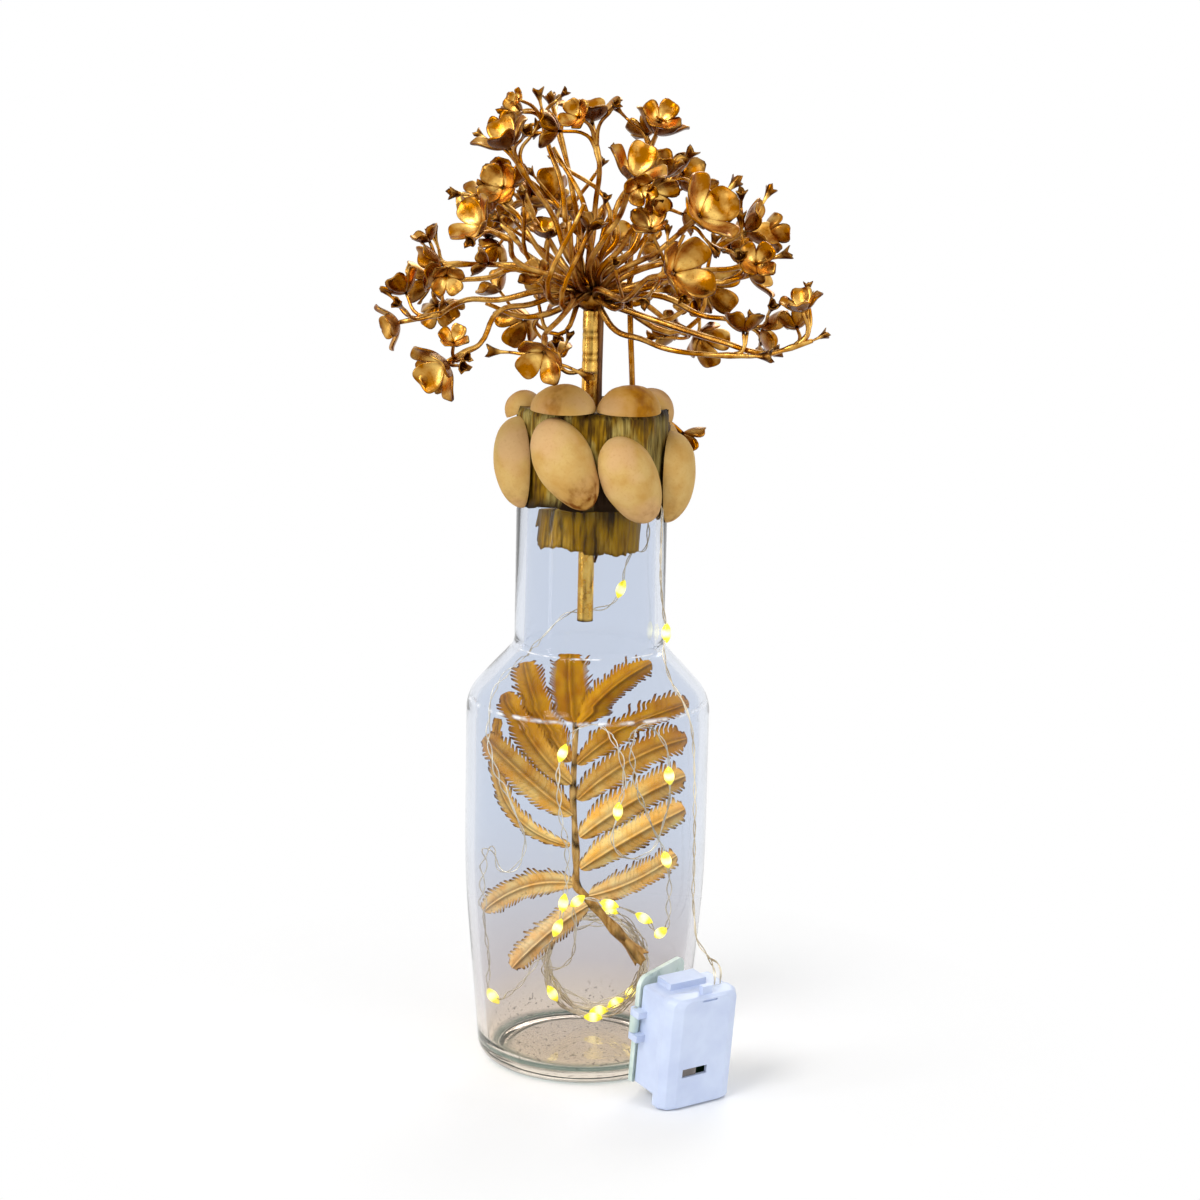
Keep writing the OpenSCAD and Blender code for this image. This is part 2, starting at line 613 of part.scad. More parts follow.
// Light string. The lead climbs from the battery box, crosses the lip in the stopper's groove and
// drops inside the neck; the run wanders in front of the fern; the rest is a hank on the floor.
// The routes are drawn for one body and one place of the box, and follow both when they change.
drawn_body_r = 38.4;
body_growth = body_r - drawn_body_r;
box_drawn = [25.5, -53.4, 0];
box_shift = body_growth * unit(box_drawn);
function below_neck(z) = max(0, min(1, (neck_z - z) / (neck_z - shoulder_z)));
box_place = box_drawn + box_shift;
function box_at(p) =
  let (y = p[1] * cos(box_lean) - p[2] * sin(box_lean),
       z = p[1] * sin(box_lean) + p[2] * cos(box_lean))
  box_place + [p[0] * cos(box_yaw) - y * sin(box_yaw), p[0] * sin(box_yaw) + y * cos(box_yaw), z];
function above_box(p) = box_at([box_w * p[0], cover_depth + shell_depth * p[1], box_h + p[2]]);
function outside(p) = p + below_neck(p[2]) * body_growth * unit([p[0], p[1], 0]);
function inside(p) =
  let (k = 1 + below_neck(p[2]) * body_growth / (drawn_body_r - glass_t)) [k * p[0], k * p[1], p[2]];
// The lead's and its leg's first points, above the box: shares of its width and of the rear shell's
// depth, and the rise above its top
lead_starts = [[0.784, 0.135, -1.3], [0.784, 0.135, 2]];
leg_starts = [[0.869, 0.135, -1.3], [0.85, 0.16, 4.6]];
lead_route = [[39.2, -32, 42.8], [35.6, -26, 46.7], [34.8, -20.8, 51.5], [34.2, -18.8, 58],
  [34.2, -18.8, 67], [34, -19.6, 80], [33.6, -20.4, 95], [32.8, -21.8, 108], [31.8, -23, 115],
  [29.4, -22, 121.5], [25.8, -19, 127], [23.8, -13.8, 132], [23.2, -9.9, 137], [24, -8.8, 140.5],
  [22.9, -9.4, 147], [21.7, -11.4, 158], [21.5, -11.5, 176], [21.3, -11.4, 180.8],
  [20.4, -10.9, 181.7], [18.6, -9.9, 181.7], [17.1, -9.1, 180.4], [16.9, -8.6, 172],
  [16.8, -6, 167], [15.8, -0.5, 164], [14.6, 4.6, 163], [14, 5.4, 162.5]];
leg_end = [39, -31.8, 43];
run_route = [[14, 5.4, 162.5], [13.4, 6.2, 162], [11.2, 8.2, 157], [10, 9, 150], [6.5, 9, 145],
  [0, 8, 143.5], [-7, 7, 142.5], [-14, 6, 136.5], [-20.5, 5, 129.5], [-28.3, 2.5, 121], [-30.8, -5, 112],
  [-28.2, -14, 98.5], [-22, -18.5, 86], [-18.5, -20.5, 73], [-24.5, -20, 66], [-28.5, -18, 73],
  [-30.6, -14.5, 66], [-30.8, -11.5, 50], [-29.2, -9.5, 33], [-28, -8.5, 21], [-21.5, -14, 25],
  [-13.5, -17, 37], [-8, -14, 46], [-6.4, -10.5, 53], [-5.5, -11, 68], [-8.2, -12.5, 86],
  [-7.5, -9, 101.5], [0.8, -10, 111], [7.7, -15, 108], [11.6, -18, 96], [10, -16, 85],
  [9.5, -17, 73], [17, -18.5, 71], [24.5, -17.5, 85], [25.2, -16.5, 97], [22, -19, 110],
  [16, -20.5, 113], [14.5, -22.5, 99], [19.5, -21.5, 84], [25, -17, 70], [26, -15.5, 57],
  [24, -13.5, 45], [19, -8.5, 48], [8, -9, 52.5], [-2, -8, 53], [-2.5, -5.5, 43],
  [-4, 0.5, 31], [-8, 5, 26]];
lead_path = concat([for (p = lead_starts) above_box(p)], [for (p = lead_route) outside(p)]);
leg_path = concat([for (p = leg_starts) above_box(p)], [outside(leg_end)]);
run_path = [for (p = run_route) inside(p)];
wire_r = wire_d / 2;
wire_sides = 8;

// Hank: loops about a level axis through [hank_x, hank_z], one pitch apart, a little uneven
hank_r = (body_r - glass_t) * hank_share;
hank_x = hank_r * 0.25;
hank_y = hank_r * 0.462;
hank_turn_from = 190;
hank_per_loop = 24;
hank_sides = 6;
hank_uneven = wire_d * 1.2;
hank_z = floor_t + seat_gap + bead_d / 2 + hank_r + hank_uneven;
function hank_radius(t) = hank_r + hank_uneven * sin(139 * t);
function hank_at(t) =
  let (a = hank_turn_from + 360 * t)
  [hank_x + hank_radius(t) * cos(a), hank_y + hank_pitch * t, hank_z + hank_radius(t) * sin(a)];
hank_steps = hank_loops * hank_per_loop;
hank_turns = [for (i = [0 : hank_steps]) hank_at(i / hank_per_loop)];
hank_in = unit(hank_turns[1] - hank_turns[0]);
hank_out = unit(hank_turns[hank_steps] - hank_turns[hank_steps - 1]);
hank_start = hank_turns[0] - wire_d * hank_in;
hank_end = hank_turns[hank_steps] + wire_d * hank_out;
hank_path = concat([hank_start], hank_turns, [hank_end]);
hank_gap = min([for (i = [0 : hank_steps - hank_per_loop + 3], k = [-3 : 3])
  norm(hank_turns[i] - hank_turns[min(hank_steps, i + hank_per_loop + k)])]) - wire_d;
echo(hank_least_gap = hank_gap);

module lead_wire()
  color("silver") {
    tube(lead_path, wire_r, wire_sides, [1, 0, 0]);
    tube(leg_path, wire_r, wire_sides, [1, 0, 0]);
  }
module string_run()
  color("silver")
    tube(concat(run_path, [hank_start - 2 * wire_d * hank_in, hank_start]), wire_r, wire_sides,
      [0, 1, 0]);
module string_hank()
  color("silver")
    tube(hank_path, wire_r, hank_sides, [0, 1, 0]);

// Lamp beads on the wire: one on the lead, some on the run and the rest on the hank
lead_beads = [15];
run_beads = [3, 19, 22, 23, 26, 30, 34, 39, 41, 42, 43, 44];
hank_beads = [0.06, 0.22, 2.24, 4.3, 6.36, 8.68];
bead_power = 0.7;
bead_steps = 6;
module bead(at, dir)
  aim(at, dir)
    rotate_extrude($fn = hull_sides)
      polygon([for (i = [0 : bead_steps])
        let (t = i / bead_steps) [bead_d / 2 * pow(max(0, sin(180 * t)), bead_power),
          bead_l * (t - 0.5)]]);
module run_lamps()
  color("lightyellow")
    for (i = run_beads)
      bead(run_path[i], tangents(run_path)[i]);
module hank_lamps()
  color("lightyellow") {
    for (i = lead_beads)
      bead(lead_path[i], tangents(lead_path)[i]);
    for (t = hank_beads)
      bead(hank_at(t), hank_at(t + 0.02) - hank_at(t - 0.02));
  }

// Battery box in its own frame: x across, y from its face backwards, z up
box_gap = 0.1;
box_low_round = box_wall;
shell_inset = box_wall * 0.6;
shell_foot = box_wall * 2.5;
shell_top = box_h - box_chamfer - box_gap;
rear_y = cover_depth + shell_depth;
cell_play = 0.2;
contact_t = 0.3;
cell_x = box_w / 2;
cell_z = (shell_foot + shell_top) / 2;
cell_y = cover_depth + shell_depth - 2 * cell_t - 2 * box_gap;
hinge_r = box_wall * 1.25;
hinge_pin_r = box_wall * 0.55;
hinge_x = -hinge_r * 0.6;
hinge_y = rear_y + lid_t / 2 + box_gap;
lid_x = hinge_x + hinge_r * 0.3;
knuckle_h = box_h * 0.15;
knuckle_z = box_h * 0.56;
arm_h = knuckle_h * 0.4;
arm_z = [knuckle_z - arm_h - box_gap, knuckle_z + knuckle_h + box_gap];
window_l = knob_l + knob_travel + 4 * box_gap;
window_h = box_wall * 2.35;
window_x = box_w * 0.4;
window_z = box_h * 0.33;
board_t = box_wall;
board_y = cover_depth - board_t - box_gap;
cavity_x = face_inset * 0.7;
outlet_w = box_w * 0.5;
outlet_h = box_wall * 1.8;
latch_w = box_wall * 3;
latch_x = box_w * 0.53;
slit_w = box_wall * 4.5;
slit_h = box_wall / 2;
module box_frame()
  translate(box_place)
    rotate([box_lean, 0, box_yaw])
      children();

// Upright slab with rounded corners between two heights, reaching back from y
module slab(x0, x1, z0, z1, y, depth, low, high)
  translate([0, y + depth, 0])
    rotate([90, 0, 0])
      linear_extrude(height = depth)
        hull() {
          for (x = [x0 + low, x1 - low])
            translate([x, z0 + low])
              circle(r = low, $fn = hull_sides);
          for (x = [x0 + high, x1 - high])
            translate([x, z1 - high])
              circle(r = high, $fn = hull_sides);
        }

// Front cover: its face is set in at both sides, and the switch window, latch slit and latch are
// at its front and top
module box_cover() {
  c = box_chamfer;
  swell = cover_depth * 0.62;
  color(plastic)
    box_frame()
      difference() {
        union() {
          hull() {
            slab(face_inset, box_w - face_inset, c, box_h - c, 0, box_gap, box_low_round, box_round);
            slab(face_inset / 3, box_w - face_inset / 3, c / 3, box_h - c / 3, swell / 3, box_gap,
              box_low_round, box_round);
            slab(0, box_w, 0, box_h, swell, cover_depth - swell, box_low_round, box_round);
          }
          translate([latch_x - latch_w / 2, swell / 2, box_h - box_wall])
            cube([latch_w, swell / 2, box_wall * 3]);
        }
        translate([cavity_x, box_wall, box_wall + c])
          cube([box_w - 2 * cavity_x, cover_depth, box_h - 2 * box_wall - 2 * c]);
        translate([window_x - window_l / 2, -cut_over, window_z - window_h / 2])
          cube([window_l, cover_depth, window_h]);
        translate([latch_x - slit_w / 2, -cut_over, box_h - box_wall - slit_h])
          cube([slit_w, cut_over + box_wall / 2, slit_h]);
      }
}

// Rear shell: holds the cells, carries the wire outlet on top and the hinge's two arms at its side
module box_shell() {
  color(plastic)
    box_frame()
      difference() {
        union() {
          slab(shell_inset, box_w - shell_inset, shell_foot, shell_top, cover_depth, shell_depth,
            box_wall, box_wall);
          translate([box_w * 0.22, cover_depth + shell_depth / 3, shell_top - box_wall])
            cube([outlet_w, shell_depth * 2 / 3, outlet_h + box_wall]);
          for (z = arm_z)
            translate([hinge_x, hinge_y, z])
              cylinder(r = hinge_r, h = arm_h);
          for (z = arm_z)
            translate([hinge_x - hinge_r, rear_y - hinge_r * 2, z])
              cube([hinge_r * 2 + shell_inset - hinge_x, hinge_r * 2, arm_h]);
        }
        translate([cell_x, cell_y - contact_t, cell_z])
          rotate([-90, 0, 0])
            cylinder(d = cell_d + 2 * cell_play, h = shell_depth + cut_over);
        translate([hinge_x, hinge_y, 0])
          cylinder(r = hinge_pin_r, h = box_h);
      }
}

// Lid: a thin panel with one knuckle between the shell's arms, drawn ajar about the hinge pin
module box_lid() {
  color("honeydew")
    box_frame()
      translate([hinge_x, hinge_y, 0])
        rotate([0, 0, lid_ajar])
          translate([-hinge_x, -hinge_y, 0])
            difference() {
              union() {
                slab(lid_x, box_w * 0.92, shell_foot, box_h + box_wall, rear_y + box_gap, lid_t,
                  box_wall, box_wall * 3);
                translate([hinge_x, hinge_y, knuckle_z])
                  cylinder(r = hinge_r, h = knuckle_h);
              }
              translate([hinge_x, hinge_y, 0])
                cylinder(r = hinge_pin_r + pin_play, h = box_h);
              for (z = arm_z)
                translate([hinge_x, hinge_y, z - box_gap])
                  cylinder(r = hinge_r + box_gap * 3, h = arm_h + 2 * box_gap);
            }
}

module hinge_pin() {
  color("silver")
    box_frame()
      translate([hinge_x, hinge_y, arm_z[0]])
        cylinder(r = hinge_pin_r, h = arm_z[1] + arm_h - arm_z[0]);
}

// Switch: the knob stands in the window in front of the board
module switch_knob() {
  color("gray")
    box_frame()
      translate([window_x - window_l / 2 + 2 * box_gap, box_wall / 2, window_z - window_h / 2 + box_gap])
        cube([knob_l, board_y - box_wall / 2 - box_gap, window_h - 2 * box_gap]);
}

module circuit_board() {
  color("seagreen")
    box_frame()
      translate([cavity_x + box_gap, board_y, box_wall + box_chamfer + box_gap])
        cube([box_w - 2 * cavity_x - 2 * box_gap, board_t + box_gap,
          box_h - 2 * box_wall - 2 * box_chamfer - 2 * box_gap]);
}

module coin_cells() {
  color("lightgray")
    box_frame()
      for (i = [0 : 1])
        translate([cell_x, cell_y + (cell_t + box_gap) * i, cell_z])
          rotate([-90, 0, 0])
            rotate_extrude()
              polygon([[0, 0], [cell_d * 0.44, 0], [cell_d * 0.44, cell_t * 0.12],
                [cell_d / 2, cell_t * 0.12], [cell_d / 2, cell_t], [0, cell_t]]);
}

// Contact: a flat sprung disc behind the cells
module box_contacts() {
  color("gold")
    box_frame()
      translate([cell_x, cell_y - contact_t, cell_z])
        rotate([-90, 0, 0])
          cylinder(d = cell_d * 0.5, h = contact_t);
}

glass_bottle();
stopper_core();
cap_wrap();
neck_skirt();
side_shell(1);  // side_shell_1
side_shell(2);  // side_shell_2
side_shell(3);  // side_shell_3
side_shell(4);  // side_shell_4
side_shell(5);  // side_shell_5
side_shell(6);  // side_shell_6
side_shell(7);  // side_shell_7
top_shell(1);  // top_shell_1
top_shell(2);  // top_shell_2
top_shell(3);  // top_shell_3
top_shell(4);  // top_shell_4
top_shell(5);  // top_shell_5
top_shell(6);  // top_shell_6
main_stem();
second_stem();
thin_stem();
stem_sprigs();
umbel_hub();
rays(0);  // rays_top
rays(1);  // rays_left
rays(2);  // rays_right
rays(3);  // rays_front
rays(4);  // rays_back
flowers(0);  // flowers_top
flowers(1);  // flowers_left
flowers(2);  // flowers_right
flowers(3);  // flowers_front
flowers(4);  // flowers_back
bud_tips();
fern_stalk();
leaflet(1);  // leaflet_1
leaflet(2);  // leaflet_2
leaflet(3);  // leaflet_3
leaflet(4);  // leaflet_4
leaflet(5);  // leaflet_5
leaflet(6);  // leaflet_6
leaflet(7);  // leaflet_7
leaflet(8);  // leaflet_8
leaflet(9);  // leaflet_9
leaflet(10);  // leaflet_10
leaflet(11);  // leaflet_11
leaflet(12);  // leaflet_12
leaflet(13);  // leaflet_13
lead_wire();
string_run();
string_hank();
run_lamps();
hank_lamps();
box_cover();
box_shell();
box_lid();
hinge_pin();
switch_knob();
coin_cells();
box_contacts();
circuit_board();
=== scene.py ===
# %% [markdown]
# # A bottle lamp, dressed round its frame
#
# The lamp is a clear bottle with a gilded fern and a string of small lamps inside, closed by a
# handmade stopper of crepe and nut shells that carries a gilded umbel. A frame of plain solids
# comes first. It holds every piece at its real size and place, so a modelled piece only has to
# follow it, and what moves rides on the frame's bodies. The frame is in metres, and most sizes
# here are written in millimetres and multiplied by MM. One kind of noise starts from the clock
# unless it is given a seed, so it gets one, and each run makes the same lamp.

# %% Load the frame
import math
import random

import bmesh
import bpy
from mathutils import Matrix, Vector, geometry, noise


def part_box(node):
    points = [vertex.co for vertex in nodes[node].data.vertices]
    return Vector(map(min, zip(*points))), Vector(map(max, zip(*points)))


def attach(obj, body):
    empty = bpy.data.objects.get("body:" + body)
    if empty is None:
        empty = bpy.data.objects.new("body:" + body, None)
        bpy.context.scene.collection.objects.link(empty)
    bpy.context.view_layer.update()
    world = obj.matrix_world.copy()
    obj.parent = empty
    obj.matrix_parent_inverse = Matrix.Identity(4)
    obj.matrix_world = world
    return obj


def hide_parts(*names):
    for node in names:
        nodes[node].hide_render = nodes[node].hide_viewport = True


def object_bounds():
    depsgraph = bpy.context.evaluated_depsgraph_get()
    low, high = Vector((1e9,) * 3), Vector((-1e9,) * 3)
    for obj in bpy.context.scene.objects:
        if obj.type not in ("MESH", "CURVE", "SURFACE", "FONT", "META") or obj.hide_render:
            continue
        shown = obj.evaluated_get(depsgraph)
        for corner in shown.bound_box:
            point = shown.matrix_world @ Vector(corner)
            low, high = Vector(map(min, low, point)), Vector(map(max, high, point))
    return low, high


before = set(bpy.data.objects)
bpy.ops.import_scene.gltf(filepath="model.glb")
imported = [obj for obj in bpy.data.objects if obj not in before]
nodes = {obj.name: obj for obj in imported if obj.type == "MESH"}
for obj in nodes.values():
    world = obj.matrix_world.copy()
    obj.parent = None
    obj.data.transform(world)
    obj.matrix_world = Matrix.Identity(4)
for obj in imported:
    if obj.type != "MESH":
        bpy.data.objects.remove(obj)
cad_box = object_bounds()
MM = 0.001
noise_seed = 5
noise.seed_set(noise_seed)

# %% [markdown]
# ## Small helpers for every step
#
# An operator works on whatever is selected, and the loaded frame is selected all over. So each
# step first clears the selection and then picks its own piece. A finished piece has its place in
# its mesh and its object at the origin, as the frame's own pieces have, so it can ride on a body.

# %% Pick, set down and weld a piece


def deselect():
    if bpy.context.object and bpy.context.object.mode != "OBJECT":
        bpy.ops.object.mode_set(mode="OBJECT")
    bpy.ops.object.select_all(action="DESELECT")


def pick(*objects):
    deselect()
    for ob in objects:
        ob.select_set(True)
    bpy.context.view_layer.objects.active = objects[0]


def set_down(ob):
    pick(ob)
    bpy.ops.object.transform_apply(location=True, rotation=True, scale=True)


def apply_modifiers(ob):
    pick(ob)
    for modifier in list(ob.modifiers):
        bpy.ops.object.modifier_apply(modifier=modifier.name)


weld_gap = 0.01 * MM


def weld(ob, gap=weld_gap):
    pick(ob)
    bpy.ops.object.mode_set(mode="EDIT")
    bpy.ops.mesh.select_all(action="SELECT")
    bpy.ops.mesh.remove_doubles(threshold=gap)
    bpy.ops.mesh.normals_make_consistent(inside=False)
    bpy.ops.object.mode_set(mode="OBJECT")


print("selecting and welding ready")

# %% Copy, join and finish a piece


def copy_of(model, matrix):
    ob = model.copy()
    ob.data = model.data.copy()
    bpy.context.scene.collection.objects.link(ob)
    ob.data.transform(matrix)
    return ob


def joined(objects):
    pick(*objects)
    if len(objects) > 1:
        bpy.ops.object.join()
    return bpy.context.object


def finished(ob, name, body, slot, finish, *replaced):
    ob.name = name
    ob.data.name = name
    ob.data.materials.clear()
    ob.data.materials.append(finish)
    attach(ob, body)
    if replaced:
        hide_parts(*replaced)
    return ob


print("copying and finishing ready")

# %% [markdown]
# ## Points read from the frame
#
# The frame's meshes are loose triangles. Where a piece needs a place that the frame already
# holds, such as the middle line of a ray, it is read from the solid rather than typed again: the
# points are merged, sorted into their separate solids, and a tube's points fall in rings.

# %% Separate solids of a node
same_point = 0.002 * MM
fewest_points = 9


def solids_of(node):
    mesh = bmesh.new()
    mesh.from_mesh(nodes[node].data)
    bmesh.ops.remove_doubles(mesh, verts=mesh.verts, dist=same_point)
    found = []
    seen = set()
    for start in mesh.verts:
        if start in seen:
            continue
        seen.add(start)
        queue = [start]
        points = []
        while queue:
            vert = queue.pop()
            points.append(vert.co.copy())
            for edge in vert.link_edges:
                other = edge.other_vert(vert)
                if other not in seen:
                    seen.add(other)
                    queue.append(other)
        if len(points) >= fewest_points:
            found.append(points)
    mesh.free()
    return found


print(len(solids_of("run_lamps")), "lamps among the leaflets")

# %% Middle lines and directions


def middle(points):
    return sum(points, Vector()) / len(points)


def middle_line(points, per_ring, order):
    ranked = sorted(points, key=order)
    return [middle(ranked[i:i + per_ring]) for i in range(0, len(ranked), per_ring)]


def long_axis(points):
    """Direction in which a solid is longest: any start turns towards it with each round."""
    centre = middle(points)
    axis = Vector((0.3, 0.2, 1))
    rounds = 20
    for _ in range(rounds):
        axis = sum(((p - centre) * (p - centre).dot(axis) for p in points), Vector()).normalized()
    return axis


print(sum(len(solids_of("rays_" + s)) for s in ("top", "left", "right", "front", "back")), "rays")

# %% [markdown]
# ## The camera
#
# The photograph looks slightly down on the lamp from its front. The camera stands where the
# ellipses of the foot, the shoulder and the lip open as they do there, with a long lens, and is
# rolled a little because the bottle leans in the picture.

# %% Camera
camera_place = Vector((3.1, -821, 315)) * MM
camera_pitch = 78.55
camera_roll = 1.2
camera_data = bpy.data.cameras.new("camera")
camera_data.sensor_width = 36
camera_data.lens = 80.22
camera_data.clip_end = 20
camera = bpy.data.objects.new("camera", camera_data)
bpy.context.scene.collection.objects.link(camera)
camera.matrix_world = (
    Matrix.Translation(camera_place)
    @ Matrix.Rotation(math.radians(camera_pitch), 4, "X")
    @ Matrix.Rotation(math.radians(camera_roll), 4, "Z")
)
bpy.context.scene.camera = camera
bpy.context.scene.view_settings.view_transform = "Standard"
print("camera at", [round(v, 3) for v in camera.location])

# %% [markdown]
# ## A short way to write a material
#
# A material is a small tree of nodes. `add` puts a node in the tree: a name in small letters is
# one of the node's settings, and a name with a capital is one of its sockets, which takes a plain
# value or another node's output. Colours are written as a paint card gives them, from 0 to 255,
# and turned to the linear values that the renderer works with.

# %% Paint, nodes and a new finish


def paint(red, green, blue):
    linear = []
    for value in (red, green, blue):
        share = value / 255
        linear.append(share / 12.92 if share < 0.04045 else ((share + 0.055) / 1.055) ** 2.4)
    return (*linear, 1)


def feed(mat, socket, value):
    if isinstance(value, bpy.types.NodeSocket):
        mat.node_tree.links.new(value, socket)
    else:
        socket.default_value = value


def add(mat, kind, **values):
    made = mat.node_tree.nodes.new("ShaderNode" + kind)
    for name, value in values.items():
        if name[0].islower():
            setattr(made, name, value)
    for name, value in values.items():
        if not name[0].islower():
            feed(mat, made.inputs[name.replace("_", " ")], value)
    return made


def new_finish(name, **values):
    mat = bpy.data.materials.new(name)
    mat.use_nodes = True
    shader = mat.node_tree.nodes["Principled BSDF"]
    for key, value in values.items():
        shader.inputs[key.replace("_", " ")].default_value = value
    return mat, shader


print("node helpers ready")

# %% Grain, ramps and spreads


def grain(mat, size, stretch=(1, 1, 1), detail=4, **values):
    """Noise whose spots are about this many millimetres across."""
    place = add(mat, "TexCoord").outputs["Object"]
    scaled = add(mat, "Mapping", Vector=place, Scale=[1 / (size * MM * s) for s in stretch])
    pattern = add(mat, "TexNoise", Vector=scaled.outputs[0], Scale=1, Detail=detail, **values)
    return pattern.outputs[0]


def between(mat, factor, low, high, start, end):
    ramp = add(mat, "ValToRGB", Fac=factor)
    ramp.color_ramp.elements[0].position = start
    ramp.color_ramp.elements[0].color = low
    ramp.color_ramp.elements[1].position = end
    ramp.color_ramp.elements[1].color = high
    return ramp.outputs["Color"]


def spread(mat, factor, low, high, start=0.3, end=0.7):
    """A factor's range from start to end, laid out from low to high and held beyond."""
    return add(mat, "MapRange", Value=factor, From_Min=start, From_Max=end, To_Min=low,
               To_Max=high).outputs[0]


print("grain and ramps ready")

# %% Mixes, sums, bumps and marks


def mixed(mat, factor, first, second, how="MIX"):
    mix = add(mat, "Mix", data_type="RGBA", blend_type=how)
    feed(mat, mix.inputs[0], factor)
    feed(mat, mix.inputs[6], first)
    feed(mat, mix.inputs[7], second)
    return mix.outputs[2]


def maths(mat, operation, first, second=0.0):
    made = add(mat, "Math", operation=operation)
    feed(mat, made.inputs[0], first)
    feed(mat, made.inputs[1], second)
    return made.outputs[0]


def bumped(mat, shader, height, depth, strength=1.0):
    bump = add(mat, "Bump", Height=height, Distance=depth * MM, Strength=strength)
    feed(mat, shader.inputs["Normal"], bump.outputs[0])


def attribute(mat, name):
    return add(mat, "Attribute", attribute_name=name).outputs["Fac"]


print("mixes and bumps ready")

# %% [markdown]
# ## The lamp string's wire
#
# Such a string is two hair-thin lacquered wires, loosely twisted, that gape here and there, with
# a lamp soldered between them every few centimetres. A plain tube would look like cable, so each
# length is two thin round strands that wind about one middle path, close together at its ends
# and at the lamps. It has four lengths: the lead up from the battery box, its short second leg at
# the box, the run that wanders among the leaflets, and the hank of spare loops on the floor.

# %% Wire finish
wire_d = 0.8
wire_finish, wire_shader = new_finish("lacquered wire", Metallic=0.55, Roughness=0.3)
wire_tone = grain(wire_finish, 12)
feed(wire_finish, wire_shader.inputs["Base Color"],
     between(wire_finish, wire_tone, paint(186, 170, 140), paint(240, 230, 206), 0.38, 0.6))
feed(wire_finish, wire_shader.inputs["Roughness"], spread(wire_finish, wire_tone, 0.2, 0.4))
bumped(wire_finish, wire_shader, grain(wire_finish, 0.5), 0.03)
print("wire finish ready")

# %% A smooth path through given points


def guide_path(route, step):
    data = bpy.data.curves.new("guide", "CURVE")
    data.dimensions = "3D"
    spline = data.splines.new("BEZIER")
    spline.bezier_points.add(len(route) - 1)
    for point, place in zip(spline.bezier_points, route):
        point.co = place
        point.handle_left_type = "AUTO"
        point.handle_right_type = "AUTO"
    guide = bpy.data.objects.new("guide", data)
    bpy.context.scene.collection.objects.link(guide)
    bpy.context.view_layer.update()
    path = []
    for a, b in zip(spline.bezier_points, spline.bezier_points[1:]):
        count = max(2, round((b.co - a.co).length / (step * MM)))
        path += geometry.interpolate_bezier(a.co, a.handle_right, b.handle_left, b.co, count + 1)[:-1]
    path.append(Vector(route[-1]))
    bpy.data.objects.remove(guide)
    return path


def length_of(path):
    return sum((b - a).length for a, b in zip(path, path[1:]))


print("paths ready")

# %% How far the strands stand apart
strand_share = 0.22
strand_r = wire_d * strand_share
clear_of_middle = 1.05
twist_pitch = 13
mean_gape = 0.35
gape_size = 9
calm_near_lamp = 7
lamp_places = [middle(p) for node in ("run_lamps", "hank_lamps") for p in solids_of(node)]


def strand_offsets(path, opening):
    """For each point of the path, the step to one strand. The other goes the opposite way."""
    offsets = []
    side = Vector((0.3, 0.5, 0.8))
    total = length_of(path)
    along = 0
    for i, place in enumerate(path):
        ahead = (path[min(i + 1, len(path) - 1)] - path[max(i - 1, 0)]).normalized()
        side = (side - ahead * side.dot(ahead)).normalized()
        angle = math.tau * along / (twist_pitch * MM)
        away = side * math.cos(angle) + ahead.cross(side) * math.sin(angle)
        near = min(min((place - lamp).length for lamp in lamp_places), along, total - along)
        gape = (mean_gape + noise.noise(place / (gape_size * MM))) * opening
        gape *= min(1, near / (calm_near_lamp * MM))
        offsets.append(away * (strand_r * clear_of_middle + max(0, gape)) * MM)
        if i + 1 < len(path):
            along += (path[i + 1] - place).length
    return offsets


print(len(lamp_places), "lamps on the string")

# %% Two strands round a path


def wire_pair(name, route, step, opening):
    path = guide_path(route, step)
    data = bpy.data.curves.new(name, "CURVE")
    data.dimensions = "3D"
    data.resolution_u = 2
    data.bevel_depth = strand_r * MM
    data.bevel_resolution = 1
    data.use_fill_caps = True
    offsets = strand_offsets(path, opening)
    for side in (-1, 1):
        strand = data.splines.new("BEZIER")
        strand.bezier_points.add(len(path) - 1)
        for point, place, away in zip(strand.bezier_points, path, offsets):
            point.co = place + away * side
            point.handle_left_type = "AUTO"
            point.handle_right_type = "AUTO"
    pair = bpy.data.objects.new(name, data)
    bpy.context.scene.collection.objects.link(pair)
    pick(pair)
    bpy.ops.object.convert(target="MESH")
    bpy.ops.object.shade_smooth()
    return bpy.context.object, path


print("strands of", round(2 * strand_r, 2), "mm")

# %% Where the battery box stands
box_place = Vector((25.5, -53.4, 0))
box_yaw = math.radians(35)
box_lean = math.radians(6)
box_turn = Matrix.Rotation(box_yaw, 3, "Z") @ Matrix.Rotation(box_lean, 3, "X")


def box_at(x, y, z):
    return (box_place + box_turn @ Vector((x, y, z))) * MM


box_h = 36.8
wire_hole = (21, 7.4)
leg_hole = (23.3, 7.4)
wire_sunk = 1.3
outlet = box_at(*wire_hole, box_h)
print("outlet", [round(v, 4) for v in outlet])
